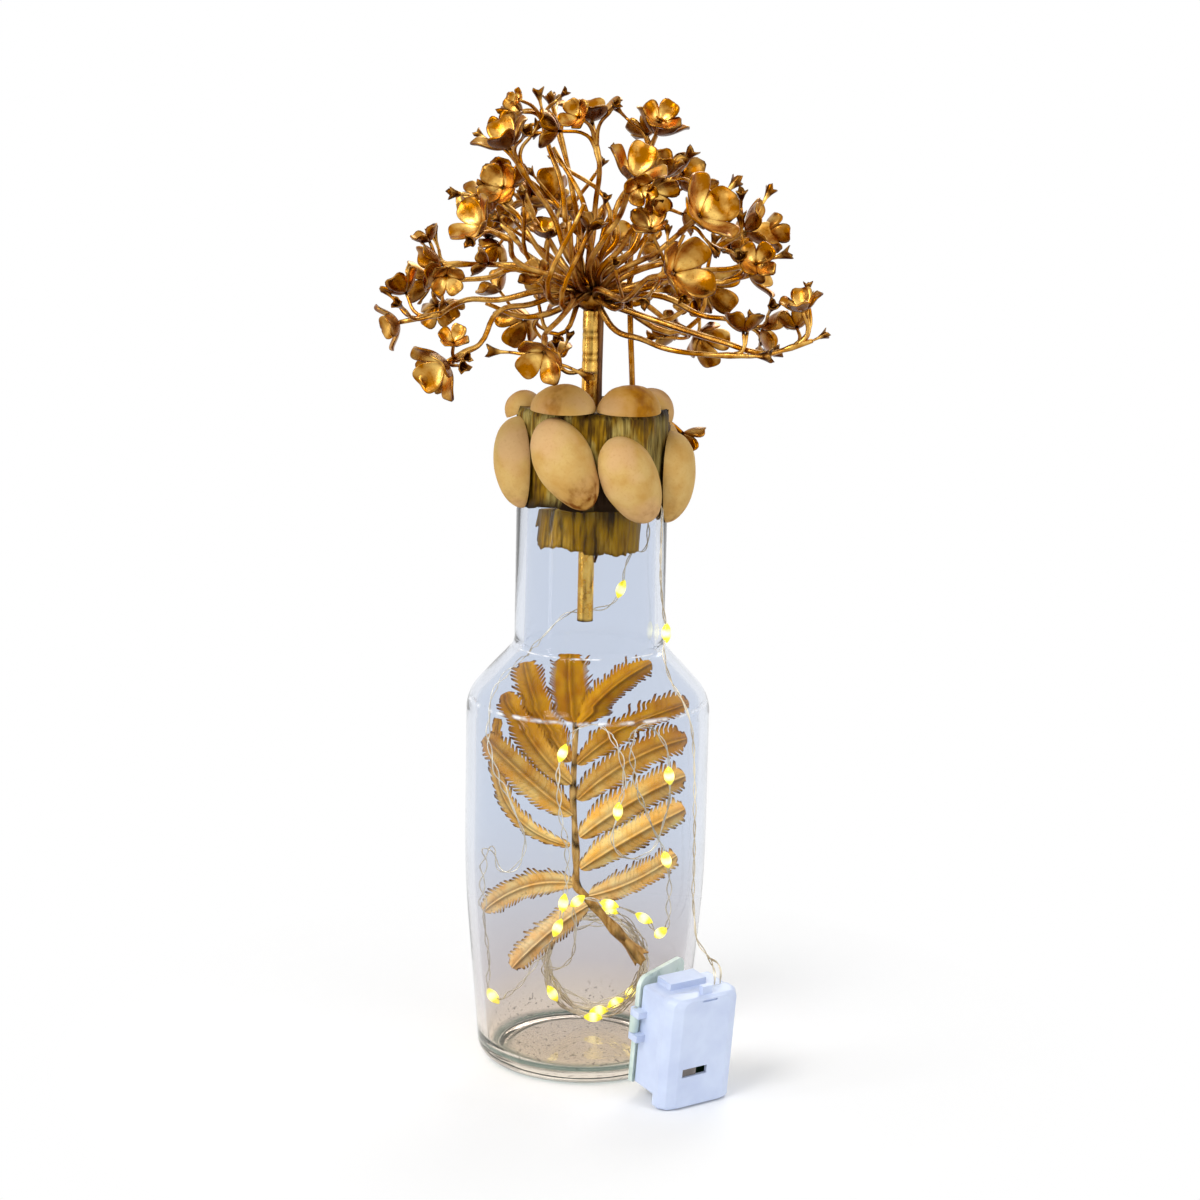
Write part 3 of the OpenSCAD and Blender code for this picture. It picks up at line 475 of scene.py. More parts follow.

# %% Routes in millimetres, listed
lead_route = [
    (39.2, -32, 42.8), (35.6, -26, 46.7), (34.8, -20.8, 51.5), (34.2, -18.8, 58), (34.2, -18.8, 67),
    (34, -19.6, 80), (33.6, -20.4, 95), (32.8, -21.8, 108), (31.8, -23, 115), (29.4, -22, 121.5),
    (25.8, -19, 127), (23.8, -13.8, 132), (23.2, -9.9, 137), (24, -8.8, 140.5), (22.9, -9.4, 147),
    (21.7, -11.4, 158), (21.5, -11.5, 176), (21.3, -11.4, 180.8), (20.4, -10.9, 181.7),
    (18.6, -9.9, 181.7), (17.1, -9.1, 180.4), (16.9, -8.6, 172), (16.8, -6, 167), (15.8, -0.5, 164),
    (14.6, 4.6, 163), (14, 5.4, 162.5)]
run_route = [
    (14, 5.4, 162.5), (13.4, 6.2, 162), (11.2, 8.2, 157), (10, 9, 150), (6.5, 9, 145),
    (0, 8, 143.5), (-7, 7, 142.5), (-14, 6, 136.5), (-20.5, 5, 129.5), (-28.3, 2.5, 121),
    (-30.8, -5, 112), (-28.2, -14, 98.5), (-22, -18.5, 86), (-18.5, -20.5, 73), (-24.5, -20, 66),
    (-28.5, -18, 73), (-30.6, -14.5, 66), (-30.8, -11.5, 50), (-29.2, -9.5, 33), (-28, -8.5, 21),
    (-21.5, -14, 25), (-13.5, -17, 37), (-8, -14, 46), (-6.4, -10.5, 53), (-5.5, -11, 68),
    (-8.2, -12.5, 86), (-7.5, -9, 101.5), (0.8, -10, 111), (7.7, -15, 108), (11.6, -18, 96),
    (10, -16, 85), (9.5, -17, 73), (17, -18.5, 71), (24.5, -17.5, 85), (25.2, -16.5, 97),
    (22, -19, 110), (16, -20.5, 113), (14.5, -22.5, 99), (19.5, -21.5, 84), (25, -17, 70),
    (26, -15.5, 57), (24, -13.5, 45), (19, -8.5, 48), (8, -9, 52.5), (-2, -8, 53),
    (-2.5, -5.5, 43), (-4, 0.5, 31), (-8, 5, 26)]
leg_end = (39, -31.8, 43)
lead_points = [box_at(*wire_hole, box_h - wire_sunk), box_at(*wire_hole, box_h + 2)]
lead_points += [Vector(p) * MM for p in lead_route]
leg_bend = (22.8, 7.7)
leg_points = [box_at(*leg_hole, box_h - wire_sunk), box_at(*leg_bend, box_h + 4.6), Vector(leg_end) * MM]
print("lead", len(lead_points), "points, run", len(run_route), "points")

# %% The hank's loops, by a formula
hank_loops = 9
hank_pitch = 1.4
hank_r = 16
hank_per_loop = 24
hank_start = 190
hank_uneven = 1.2
hank_beat = 139
hank_middle_shares = (0.25, 0.462, 1.56)
tangle_size = 8
tangle_reach = 1.6


def hank_at(turn):
    """A place on the hank. Turns count from 0, and a slow beat makes the loops uneven."""
    angle = math.radians(hank_start + 360 * turn)
    radius = hank_r + wire_d * hank_uneven * math.sin(math.radians(hank_beat * turn))
    x, y, z = (hank_r * share for share in hank_middle_shares)
    place = Vector((x + radius * math.cos(angle), y + hank_pitch * turn, z + radius * math.sin(angle)))
    tangle = noise.noise_vector(place / tangle_size + Vector((turn, 0, 0)))
    return (place + tangle * min(1, turn, hank_loops - turn) * tangle_reach) * MM


hank_points = [hank_at(i / hank_per_loop) for i in range(hank_loops * hank_per_loop + 1)]
into_hank = (hank_points[1] - hank_points[0]).normalized() * wire_d * MM
hank_points.insert(0, hank_points[0] - into_hank)
run_points = [Vector(p) * MM for p in run_route] + [hank_points[0] - 2 * into_hank, hank_points[0]]
print("hank", round(length_of(hank_points), 3), "m")

# %% Lay the four lengths of wire
leg_step = 2
wire_step = 1.7
leg = wire_pair("lead_leg", leg_points, leg_step, 0)[0]
finished(leg, "lead_leg", "bottle", "wire_metal", wire_finish)
cords = [
    ("lead", lead_points, 0.35, outlet, "hanging", "object", "lead_wire"),
    ("string_run_pair", run_points, 0.95, run_points[0], "loose", "object", "string_run"),
    ("string_hank_pair", hank_points, 0.9, hank_points[0], "coiled", "bare", "string_hank"),
]
for name, points, opening, leaves, lay, end, replaced in cords:
    pair, path = wire_pair(name, points, wire_step, opening)
    finished(pair, name, "bottle", "wire_metal", wire_finish, replaced)
    print(name, round(length_of(path), 3), "m,", len(pair.data.polygons), "faces")

# %% [markdown]
# ## The lamps
#
# Each lamp is a chip no bigger than a grain of salt, sealed in a drop of clear resin that runs
# out along the wires. What shows is a lemon-yellow drop with a white heart. A ball is stretched
# along the wire and drawn in at both ends, and a mark on its middle rings tells the material
# where the heart is. The places and directions are read from the frame's own drops.

# %% Lamp finish
lamp_finish, lamp_shader = new_finish("lit resin drop", Roughness=0.18, Coat_Weight=0.4)
heart = maths(lamp_finish, "MULTIPLY", attribute(lamp_finish, "heart"),
              spread(lamp_finish, grain(lamp_finish, 1.6), 0.7, 1.15))
feed(lamp_finish, lamp_shader.inputs["Base Color"],
     mixed(lamp_finish, heart, paint(240, 220, 60), paint(255, 246, 190)))
feed(lamp_finish, lamp_shader.inputs["Emission Color"],
     mixed(lamp_finish, heart, paint(255, 236, 40), paint(255, 242, 130)))
feed(lamp_finish, lamp_shader.inputs["Emission Strength"], spread(lamp_finish, heart, 0.8, 2.6, 0, 1))
bumped(lamp_finish, lamp_shader, grain(lamp_finish, 0.8), 0.05)
print("lamp finish ready")

# %% One drop, modelled once
drop_l = 6.4
drop_d = 3.1
end_taper = 0.55
heart_share = 0.5
lump_share = 0.12
deselect()
bpy.ops.mesh.primitive_uv_sphere_add(segments=16, ring_count=12, radius=drop_d / 2 * MM)
drop = bpy.context.object
heart_mark = drop.data.attributes.new("heart", "FLOAT", "POINT")
for vert in drop.data.vertices:
    t = vert.co.z / (drop_d / 2 * MM)
    narrow = 1 - end_taper * abs(t) ** 3
    heart_mark.data[vert.index].value = max(0, 1 - (abs(t) / heart_share) ** 2)
    lump = 1 + lump_share * noise.noise(Vector((vert.co.x, vert.co.y, 0)) / MM)
    vert.co = Vector((vert.co.x * narrow * lump, vert.co.y * narrow, t * drop_l / 2 * MM))
bpy.ops.object.shade_smooth()
print("drop", drop_l, "by", drop_d, "mm")

# %% A drop at each lamp
for node, name in (("run_lamps", "run_drops"), ("hank_lamps", "hank_drops")):
    drops = []
    for solid in solids_of(node):
        along_wire = Vector((0, 0, 1)).rotation_difference(long_axis(solid)).to_matrix().to_4x4()
        drops.append(copy_of(drop, Matrix.Translation(middle(solid)) @ along_wire))
    print(name, len(drops))
    finished(joined(drops), name, "bottle", "lamp_resin", lamp_finish, node)
bpy.data.objects.remove(drop)

# %% [markdown]
# ## Floor, backdrop and light
#
# The lamp stands on a plain pale floor before white. The floor takes the soft shadow near the
# lamp and fades to plain white further out, so no horizon shows. Metal and glass have to see the
# same white, so the backdrop is white for mirrored and bent rays too, and dimmer for the light
# that falls on the pieces. Three soft lamps give the form its light and shade, and a narrow strip
# draws the bright upright line that a round bottle shows.

# %% Backdrop
world = bpy.data.worlds.new("white room")
bpy.context.scene.world = world
world.use_nodes = True
world_nodes = world.node_tree.nodes
world_links = world.node_tree.links
backdrop = world_nodes["Background"]
rays = world_nodes.new("ShaderNodeLightPath")
seen = world_nodes.new("ShaderNodeMath")
seen.operation = "MAXIMUM"
world_links.new(rays.outputs["Is Camera Ray"], seen.inputs[0])
world_links.new(rays.outputs["Is Glossy Ray"], seen.inputs[1])
shown = world_nodes.new("ShaderNodeMath")
shown.operation = "MAXIMUM"
world_links.new(seen.outputs[0], shown.inputs[0])
world_links.new(rays.outputs["Is Transmission Ray"], shown.inputs[1])
unseen_level = 0.55
level = world_nodes.new("ShaderNodeMapRange")
world_links.new(shown.outputs[0], level.inputs["Value"])
level.inputs["To Min"].default_value = unseen_level
level.inputs["To Max"].default_value = 1
world_links.new(level.outputs[0], backdrop.inputs["Strength"])
backdrop.inputs["Color"].default_value = (1, 1, 1, 1)
print("backdrop ready")

# %% Floor
floor_size = 6
shadow_from = 0.06
shadow_to = 0.17
glass_white = 0.7
deselect()
bpy.ops.mesh.primitive_plane_add(size=floor_size)
floor = bpy.context.object
floor.name = "floor"
floor_finish, floor_shader = new_finish("pale floor", Roughness=0.9, Base_Color=paint(250, 250, 250))
floor_shader.inputs["Specular IOR Level"].default_value = 0
spot = add(floor_finish, "TexCoord").outputs["Object"]
out = add(floor_finish, "VectorMath", operation="LENGTH")
feed(floor_finish, out.inputs[0], spot)
far_off = spread(floor_finish, out.outputs["Value"], 0, 1, shadow_from, shadow_to)
path_of_ray = add(floor_finish, "LightPath")
floor_seen = maths(floor_finish, "MAXIMUM", path_of_ray.outputs["Is Camera Ray"],
                   path_of_ray.outputs["Is Glossy Ray"])
floor_seen = maths(floor_finish, "MAXIMUM", floor_seen, path_of_ray.outputs["Is Transmission Ray"])
plain_white = add(floor_finish, "Emission", Color=(1, 1, 1, 1), Strength=1)
through_glass = maths(floor_finish, "MULTIPLY", path_of_ray.outputs["Is Transmission Ray"], glass_white)
white_share = maths(floor_finish, "MAXIMUM", maths(floor_finish, "MULTIPLY", far_off, floor_seen),
                    through_glass)
floor_mix = add(floor_finish, "MixShader", Fac=white_share)
floor_finish.node_tree.links.new(floor_shader.outputs[0], floor_mix.inputs[1])
floor_finish.node_tree.links.new(plain_white.outputs[0], floor_mix.inputs[2])
floor_out = floor_finish.node_tree.nodes["Material Output"]
floor_finish.node_tree.links.new(floor_mix.outputs[0], floor_out.inputs["Surface"])
floor.data.materials.append(floor_finish)
print("floor ready")

# %% Soft lights
light_aim = Vector((0, 0, 0.15))


def soft_light(name, place, size, power, tint):
    light = bpy.data.lights.new(name, "AREA")
    light.size = size
    light.energy = power
    light.color = tint
    ob = bpy.data.objects.new(name, light)
    bpy.context.scene.collection.objects.link(ob)
    aim = light_aim - Vector(place)
    ob.matrix_world = Matrix.Translation(place) @ aim.to_track_quat("-Z", "Y").to_matrix().to_4x4()


soft_light("key", (-0.55, -0.75, 0.95), 0.45, 6.5, (1, 0.985, 0.96))
soft_light("fill", (0.8, -0.6, 0.5), 0.6, 2.2, (0.95, 0.97, 1))
soft_light("rim", (0.25, 0.8, 0.75), 0.5, 3.0, (1, 1, 1))
print("three soft lights")

# %% A strip light at the left
strip_place = (-0.75, -0.4, 0.25)
strip_bearing = -62
strip = bpy.data.objects["fill"].copy()
strip.data = strip.data.copy()
strip.name = "strip"
strip.data.shape = "RECTANGLE"
strip.data.size = 0.1
strip.data.size_y = 0.7
strip.data.energy = 1.6
strip.matrix_world = (
    Matrix.Translation(strip_place)
    @ Matrix.Rotation(math.radians(strip_bearing), 4, "Z")
    @ Matrix.Rotation(math.radians(90), 4, "X")
)
bpy.context.scene.collection.objects.link(strip)
print("strip light", strip.data.size, "by", strip.data.size_y, "m")

# %% [markdown]
# ## The bottle
#
# A blown bottle is round, so its outline says everything: the foot, a wall that swells and stands
# upright, the shoulder, the neck and the rolled lip, then the same line again 3 mm further in. It
# could be spun from a drawn profile. Here a circle is laid at the foot and pulled up ring by ring,
# scaled to each radius, over the lip and down the inside, which is how one would do it by hand
# and leaves a closed wall. The bends are arcs worked out from the corners they round. The bend at
# the shoulder and the bend at the foot of the neck get a mark on their front, which the finish
# turns into a milky white line: a painted highlight.

# %% Rounded corners of an outline
bend_steps = 7


def corner_arc(a, b, c, radius):
    u = (a - b).normalized()
    w = (c - b).normalized()
    half = u.angle(w) / 2
    centre = b + (u + w).normalized() * radius / math.sin(half)
    first = b + u * radius / math.tan(half) - centre
    last = b + w * radius / math.tan(half) - centre
    sweep = math.pi - 2 * half
    arc = []
    for i in range(bend_steps + 1):
        t = i / bend_steps
        part = first * math.sin(sweep * (1 - t)) + last * math.sin(sweep * t)
        arc.append(centre + part / math.sin(sweep))
    return arc


def rounded_line(corners):
    places = [Vector(c[:2]) for c in corners]
    line = [places[0]]
    for i in range(1, len(corners) - 1):
        line += corner_arc(places[i - 1], places[i], places[i + 1], corners[i][2])
    return line + [places[-1]]


print("bends of", bend_steps, "steps")

# %% The bottle's sizes
bottle_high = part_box("glass_bottle")[1]
lid_clear = 0.08
bottle_h = bottle_high.z / MM
body_r = bottle_high.x / MM - lid_clear
foot_r = 33.1
stand_r = 27
neck_r = 23.5
glass_t = 3
bore_r = neck_r - glass_t
mid_lip = (neck_r + bore_r) / 2
body_z = 60
shoulder_z = 119
neck_z = 135
inset = glass_t * math.tan(math.atan2(body_r - neck_r, neck_z - shoulder_z) / 2)
swell_r = body_r * 9
flat_r = 4
print("body", round(body_r, 2), "neck", neck_r, "mm in radius")

# %% The bottle's two outlines: radius, height and rounding of each corner
outer_line = rounded_line([
    (flat_r, 1.8, 0), (22, 1.6, 16), (stand_r, 0, 3), (foot_r, 0, 5.4), (body_r, body_z, swell_r),
    (body_r, shoulder_z, 13), (neck_r, neck_z, 6), (neck_r, bottle_h, 1.2), (mid_lip, bottle_h, 0)])
inner_line = rounded_line([
    (mid_lip, bottle_h, 0), (bore_r, bottle_h, 1.2), (bore_r, neck_z - inset, 5),
    (body_r - glass_t, shoulder_z - inset, 9), (body_r - glass_t, body_z, swell_r),
    (foot_r - glass_t + 0.4, 3.3, 6), (18, 3.8, 30), (flat_r, 4.6, 0)])
print(len(outer_line), "points outside,", len(inner_line), "inside")

# %% Turn a piece ring by ring


def turned(line, sides):
    deselect()
    bpy.ops.mesh.primitive_circle_add(vertices=sides, radius=line[0][0] * MM, fill_type="NGON",
                                      location=(0, 0, line[0][1] * MM))
    ob = bpy.context.object
    bpy.ops.object.mode_set(mode="EDIT")
    bpy.ops.mesh.select_all(action="SELECT")
    for (r0, z0), (r1, z1) in zip(line, line[1:]):
        bpy.ops.mesh.extrude_region_move(TRANSFORM_OT_translate={"value": (0, 0, (z1 - z0) * MM)})
        bpy.ops.transform.resize(value=(r1 / r0, r1 / r0, 1))
    bpy.ops.mesh.select_all(action="SELECT")
    bpy.ops.mesh.remove_doubles(threshold=weld_gap / 10)
    bpy.ops.mesh.normals_make_consistent(inside=False)
    bpy.ops.object.mode_set(mode="OBJECT")
    set_down(ob)
    return ob


bottle_sides = 128
bottle = turned([tuple(p) for p in outer_line + inner_line[1:]], bottle_sides)
bpy.ops.object.shade_smooth_by_angle(angle=math.radians(40))
print("bottle", len(bottle.data.polygons), "faces")

# %% Mark a painted highlight on the front of the two bends
same_ring = 0.05
side_highlight = 0.6
front_highlight = 1.2
# A painted highlight: a ring of points on the front of each bend, which the finish turns milky white.
painted_bend_highlight = bottle.data.attributes.new("painted_bend_highlight", "FLOAT", "POINT")
for radius, height in ((neck_r, neck_z), (body_r, shoulder_z)):
    corner = Vector((radius, height))
    ring = min(outer_line, key=lambda p: (p - corner).length)
    for vert in bottle.data.vertices:
        place = Vector((vert.co.xy.length, vert.co.z)) / MM
        if (place - ring).length < same_ring:
            highlight_here = side_highlight - front_highlight * vert.co.y / vert.co.xy.length
            painted_bend_highlight.data[vert.index].value = max(0, min(1, highlight_here))
print(sum(mark.value > 0 for mark in painted_bend_highlight.data), "points worn")

# %% [markdown]
# ## Clear glass
#
# Bottle glass is clear. The colour of the room around it is painted into the glass as a painted
# reflection: cool along the wall and warm near the floor. Its lowest edge is dark green, partly the
# green of thick glass and partly painted shade. It holds small seeds near the foot. The colour is
# mixed by height and the seeds are sharp spots of noise. Real glass throws hardly any shadow on
# what it holds, which a renderer only finds with much work, so light passes straight through on
# its way to a lamp.

# %% Glass colour by height, with the room painted in
all_warm = 12 * MM
all_cool = 75 * MM
all_green = 0.4 * MM
no_green = 2.2 * MM
most_seeds = 7 * MM
no_seeds = 15 * MM
glass, glass_shader = new_finish("clear bottle glass", Roughness=0.0, IOR=1.45,
                                 Transmission_Weight=1.0, Specular_Tint=(0.12, 0.12, 0.12, 1))
glass_place = add(glass, "TexCoord").outputs["Object"]
glass_height = add(glass, "SeparateXYZ", Vector=glass_place).outputs["Z"]
# Painted reflection of the room: cool along the wall, warmer towards the floor and the foot.
painted_warm_share = spread(glass, glass_height, 1, 0, all_warm, all_cool)
painted_foot_warmth = spread(glass, glass_height, 1, 0, 6 * MM, 20 * MM)
rim_share = spread(glass, glass_height, 1, 0, all_green, no_green)
glass_and_painted_room = mixed(glass, painted_warm_share, paint(226, 231, 240), paint(222, 215, 212))
glass_and_painted_room = mixed(glass, painted_foot_warmth, glass_and_painted_room, paint(240, 229, 214))
seeds = spread(glass, grain(glass, 1.5, detail=2), 0, 0.9, 0.64, 0.69)
seeds = maths(glass, "MULTIPLY", seeds, spread(glass, glass_height, 1, 0, most_seeds, no_seeds))
glass_and_painted_room = mixed(glass, seeds, glass_and_painted_room, paint(96, 88, 80))
# The lowest edge is dark green and less clear: partly the green of thick glass, partly painted shade.
glass_and_painted_room = mixed(glass, rim_share, glass_and_painted_room, paint(84, 106, 98))
print("glass tinted")

# %% Painted highlight on the bends, ripples and shadows
# The painted highlight makes the front of the bends milky white and less clear.
bend_highlight_share = maths(glass, "MULTIPLY", spread(glass, attribute(glass, "painted_bend_highlight"), 0, 0.76, 0.35, 0.9),
                   spread(glass, grain(glass, 5, detail=3), 0.05, 1, 0.42, 0.58))
feed(glass, glass_shader.inputs["Base Color"], mixed(glass, bend_highlight_share, glass_and_painted_room, paint(250, 252, 255)))
milky = maths(glass, "MAXIMUM", bend_highlight_share, maths(glass, "MULTIPLY", rim_share, 0.3))
feed(glass, glass_shader.inputs["Transmission Weight"], maths(glass, "SUBTRACT", 1.0, milky))
bumped(glass, glass_shader, grain(glass, 26, (1, 1, 1.6), detail=1), 0.35, 0.5)
shadow_path = add(glass, "LightPath").outputs["Is Shadow Ray"]
lets_light = add(glass, "BsdfTransparent", Color=(0.99, 0.99, 1, 1))
glass_mix = add(glass, "MixShader", Fac=shadow_path)
glass.node_tree.links.new(glass_shader.outputs[0], glass_mix.inputs[1])
glass.node_tree.links.new(lets_light.outputs[0], glass_mix.inputs[2])
glass_out = glass.node_tree.nodes["Material Output"]
glass.node_tree.links.new(glass_mix.outputs[0], glass_out.inputs["Surface"])
finished(bottle, "bottle_glass", "bottle", "clear_glass", glass, "glass_bottle")
print("glass ready")

# %% [markdown]
# ## The crepe wrap and skirt
#
# The drum is wrapped in olive crepe paper with a gold sheen, whose creases run up and down and
# whose hem is ragged. Below it a skirt of the same paper, more mustard where it is out of the
# light, hangs into the neck as two torn flaps. The wrap is a cylinder cut into many narrow
# columns, which are pushed in and out by noise that changes quickly round the drum and slowly up
# it. The skirt is an open tube made the same way, with the frame's own ragged edge, and then gets
# its thickness. The fine fibre is left to the material.
# The folds, the top and hem of the wrap, its front right where the shells shade it, and the top of the
# skirt under the drum are painted darker as painted shade, and the material paints light patches as glints
# and dark patches and streaks as shade.

# %% Crepe finish
all_mustard = 176 * MM
no_mustard = 182 * MM
crepe, crepe_shader = new_finish("olive crepe", Roughness=0.5, Metallic=0.6, Specular_IOR_Level=0.2)
fibre = grain(crepe, 0.8, (1, 1, 11), detail=6)
crease_shade = grain(crepe, 2.4, (1, 1, 7), detail=3)
patch = grain(crepe, 9, (1, 1, 1.8), detail=3)
crepe_tone = between(crepe, fibre, paint(86, 54, 0), paint(164, 124, 18), 0.34, 0.62)
painted_glints = between(crepe, fibre, paint(98, 76, 8), paint(204, 182, 106), 0.34, 0.66)
# Light patches are painted glints, and dark patches are painted shade.
crepe_tone = mixed(crepe, spread(crepe, patch, 0, 1, 0.46, 0.56), crepe_tone, painted_glints)
crepe_tone = mixed(crepe, spread(crepe, patch, 0.7, 0, 0.34, 0.44), crepe_tone, paint(48, 28, 0))
crepe_height = add(crepe, "SeparateXYZ", Vector=add(crepe, "TexCoord").outputs["Object"]).outputs["Z"]
mustard = between(crepe, fibre, paint(128, 82, 0), paint(196, 144, 0), 0.3, 0.66)
mustard_share = spread(crepe, crepe_height, 0.8, 0, all_mustard, no_mustard)
crepe_tone = mixed(crepe, mustard_share, crepe_tone, mustard)
# Dark streaks: painted shade in the gaps between the creases.
crepe_tone = mixed(crepe, spread(crepe, crease_shade, 0.9, 0, 0.32, 0.47), crepe_tone, paint(44, 22, 0))
# The mesh's mark paints shade onto the wrap and the skirt.
feed(crepe, crepe_shader.inputs["Base Color"],
     mixed(crepe, attribute(crepe, "hollow"), crepe_tone, paint(34, 18, 2)))
feed(crepe, crepe_shader.inputs["Roughness"], spread(crepe, fibre, 0.42, 0.7))
bumped(crepe, crepe_shader, fibre, 0.5, 0.8)
print("crepe finish ready")

# %% Cut the upright edges of a piece into rings


def cut_across(ob, cuts):
    """Cuts each long upright edge this many times and leaves the piece in edit mode."""
    bpy.ops.object.mode_set(mode="EDIT")
    bpy.ops.mesh.select_mode(type="EDGE")
    bpy.ops.mesh.select_all(action="DESELECT")
    mesh = bmesh.from_edit_mesh(ob.data)
    for edge in mesh.edges:
        edge.select_set(abs(edge.verts[0].co.z - edge.verts[1].co.z) > 1 * MM)
    bmesh.update_edit_mesh(ob.data)
    bpy.ops.mesh.subdivide(number_cuts=cuts)


print("cutting ready")

# %% Wrap: a cylinder of narrow columns
drum_low, drum_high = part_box("cap_wrap")
drum_r = drum_high.x
columns = 240
rows = 14
deselect()
bpy.ops.mesh.primitive_cylinder_add(vertices=columns, radius=drum_r, depth=drum_high.z - drum_low.z,
                                    location=(0, 0, (drum_low.z + drum_high.z) / 2))
wrap = bpy.context.object
cut_across(wrap, rows)
print("wrap of", columns, "columns")

# %% Rings on its two flat ends
first_ring = 0.7
ring_gap = 5
rings = 4
bpy.ops.mesh.select_mode(type="FACE")
bpy.ops.mesh.select_all(action="DESELECT")
wrap_mesh = bmesh.from_edit_mesh(wrap.data)
for face in wrap_mesh.faces:
    face.select_set(len(face.verts) > 4)
bmesh.update_edit_mesh(wrap.data)
bpy.ops.mesh.inset(thickness=first_ring * MM)
for _ in range(rings):
    bpy.ops.mesh.inset(thickness=ring_gap * MM)
bpy.ops.object.mode_set(mode="OBJECT")
set_down(wrap)
print("wrap", len(wrap.data.polygons), "faces")

# %% Creases, folds and a ragged hem
creases_round = 14
folds_round = 4
hem_waves = 2.6
crease_depth = 0.7
fold_depth = 0.6
sunk = 0.3
wrap_hollow = wrap.data.attributes.new("hollow", "FLOAT", "POINT")
for vert in wrap.data.vertices:
    bearing = math.atan2(vert.co.y, vert.co.x)
    out = vert.co.xy.length / drum_r
    crease = noise.noise(Vector((bearing * creases_round, 0.6 * vert.co.z / (10 * MM), 3)))
    fold = noise.noise(Vector((bearing * folds_round, 0.4 * vert.co.z / (10 * MM), 9)))
    push = -sunk + crease_depth * crease + fold_depth * fold
    up = (vert.co.z - drum_low.z) / (drum_high.z - drum_low.z)
    # Painted shade: darker near the top, at the hem and on the front right where the shells shade it, and
    # in the fold valleys.
    dark = max(0, up - 0.86) * 3 + max(0, 0.16 - up) * 6
    dark += 2 * max(0, vert.co.x / drum_r - 0.62) * (vert.co.y < 0)
    wrap_hollow.data[vert.index].value = max(0, -0.5 - 2.8 * fold) + dark
    if out > 0.99 and up < 0.01:
        hem = 0.6 + 1.6 * noise.noise(Vector((bearing * hem_waves, 4, 1))) + 0.5 * crease
        vert.co.xy *= 1 + 0.15 * MM / drum_r
        vert.co.z -= max(0, hem) * MM
    elif out > 0.99:
        vert.co.xy *= 1 + min(0.1, push - 0.9 * max(0, up - 0.93) * 14) * MM / drum_r
    else:
        vert.co.z += (0.25 * crease - 0.2) * MM
bpy.ops.object.shade_smooth()
finished(wrap, "crepe_wrap", "stopper", "crepe_paper", crepe, "cap_wrap")
print("wrap from", round(min(v.co.z for v in wrap.data.vertices), 4), "m up")

# %% The skirt's edge in the frame
skirt_low, skirt_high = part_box("neck_skirt")
skirt_points = [v.co for v in nodes["neck_skirt"].data.vertices]
same_side = 0.9985


def skirt_foot(bearing):
    """How low the frame's skirt hangs on this side, and how far out it is there."""
    way = Vector((math.cos(bearing), math.sin(bearing)))
    lowest = 0
    radius = 0
    for p in skirt_points:
        if p.xy.length > 5 * MM and p.xy.normalized().dot(way) > same_side:
            if p.z < lowest or lowest == 0:
                lowest = p.z
                radius = p.xy.length
    return lowest, radius


print("skirt hangs to", round(skirt_low.z, 4), "m")

# %% Skirt: an open tube
skirt_columns = 216
skirt_rows = 12
skirt_top_r = 16
deselect()
bpy.ops.mesh.primitive_circle_add(vertices=skirt_columns, radius=skirt_top_r * MM,
                                  location=(0, 0, skirt_high.z))
skirt = bpy.context.object
bpy.ops.object.mode_set(mode="EDIT")
bpy.ops.mesh.select_mode(type="VERT")
bpy.ops.mesh.select_all(action="SELECT")
for _ in range(skirt_rows):
    bpy.ops.mesh.extrude_region_move(TRANSFORM_OT_translate={"value": (0, 0, -1 * MM)})
bpy.ops.object.mode_set(mode="OBJECT")
set_down(skirt)
print("skirt of", skirt_columns, "columns")

# %% Draw the skirt down to that edge, with creases and folds that grow
paper_t = 0.45
tear_depth = 0.9
tear_waves = 9
skirt_creases = 13
skirt_crease_depth = 0.5
skirt_folds = 1.9
skirt_fold_depth = 1.1
random.seed(4)
foot_of = {}
skirt_hollow = skirt.data.attributes.new("hollow", "FLOAT", "POINT")
for vert in skirt.data.vertices:
    bearing = math.atan2(vert.co.y, vert.co.x)
    key = round(bearing, 3)
    if key not in foot_of:
        low, radius = skirt_foot(bearing)
        round_the_edge = Vector((math.cos(bearing) * tear_waves, math.sin(bearing) * tear_waves, 5))
        ragged = tear_depth * noise.noise(round_the_edge)
        foot_of[key] = (low + (ragged + random.uniform(0, 0.5)) * MM, radius)
    low, radius = foot_of[key]
    t = (skirt_high.z - vert.co.z) / (skirt_rows * MM)
    crease = skirt_crease_depth * t * noise.noise(Vector((bearing * skirt_creases, t * 1.2, 1)))
    fold = skirt_fold_depth * t * noise.noise(Vector((bearing * skirt_folds, t * 0.6, 7)))
    # Painted shade in the fold valleys and at the skirt's top under the drum.
    skirt_hollow.data[vert.index].value = max(0, -0.15 - fold) * 1.5 + max(0, 0.7 - 2 * t)
    r = skirt_top_r * MM * (1 - t) + (radius - paper_t * MM) * t + (crease + fold) * MM
    vert.co = Vector((r * math.cos(bearing), r * math.sin(bearing),
                      skirt_high.z + (low - skirt_high.z) * t))
print(len(foot_of), "feet found")

# %% The skirt's thickness
thick = skirt.modifiers.new("thickness", "SOLIDIFY")
thick.thickness = paper_t * MM
thick.offset = 0
apply_modifiers(skirt)
weld(skirt)
bpy.ops.object.shade_smooth()
finished(skirt, "crepe_skirt", "stopper", "crepe_paper", crepe, "neck_skirt")
print("skirt", len(skirt.data.polygons), "faces")

# %% [markdown]
# ## The nut shells
#
# Thirteen half shells are glued round the drum: seven stand against its side and lean, and six
# lie along its top edge. One half shell is modelled: a ball is cut in half, drawn out to an egg
# and given its wall. Each copy is then turned to its own place, bent a little by noise so that no
# two are alike, and marked where age has stained it. The places are the frame's own, as shares of
# the sizes they follow.

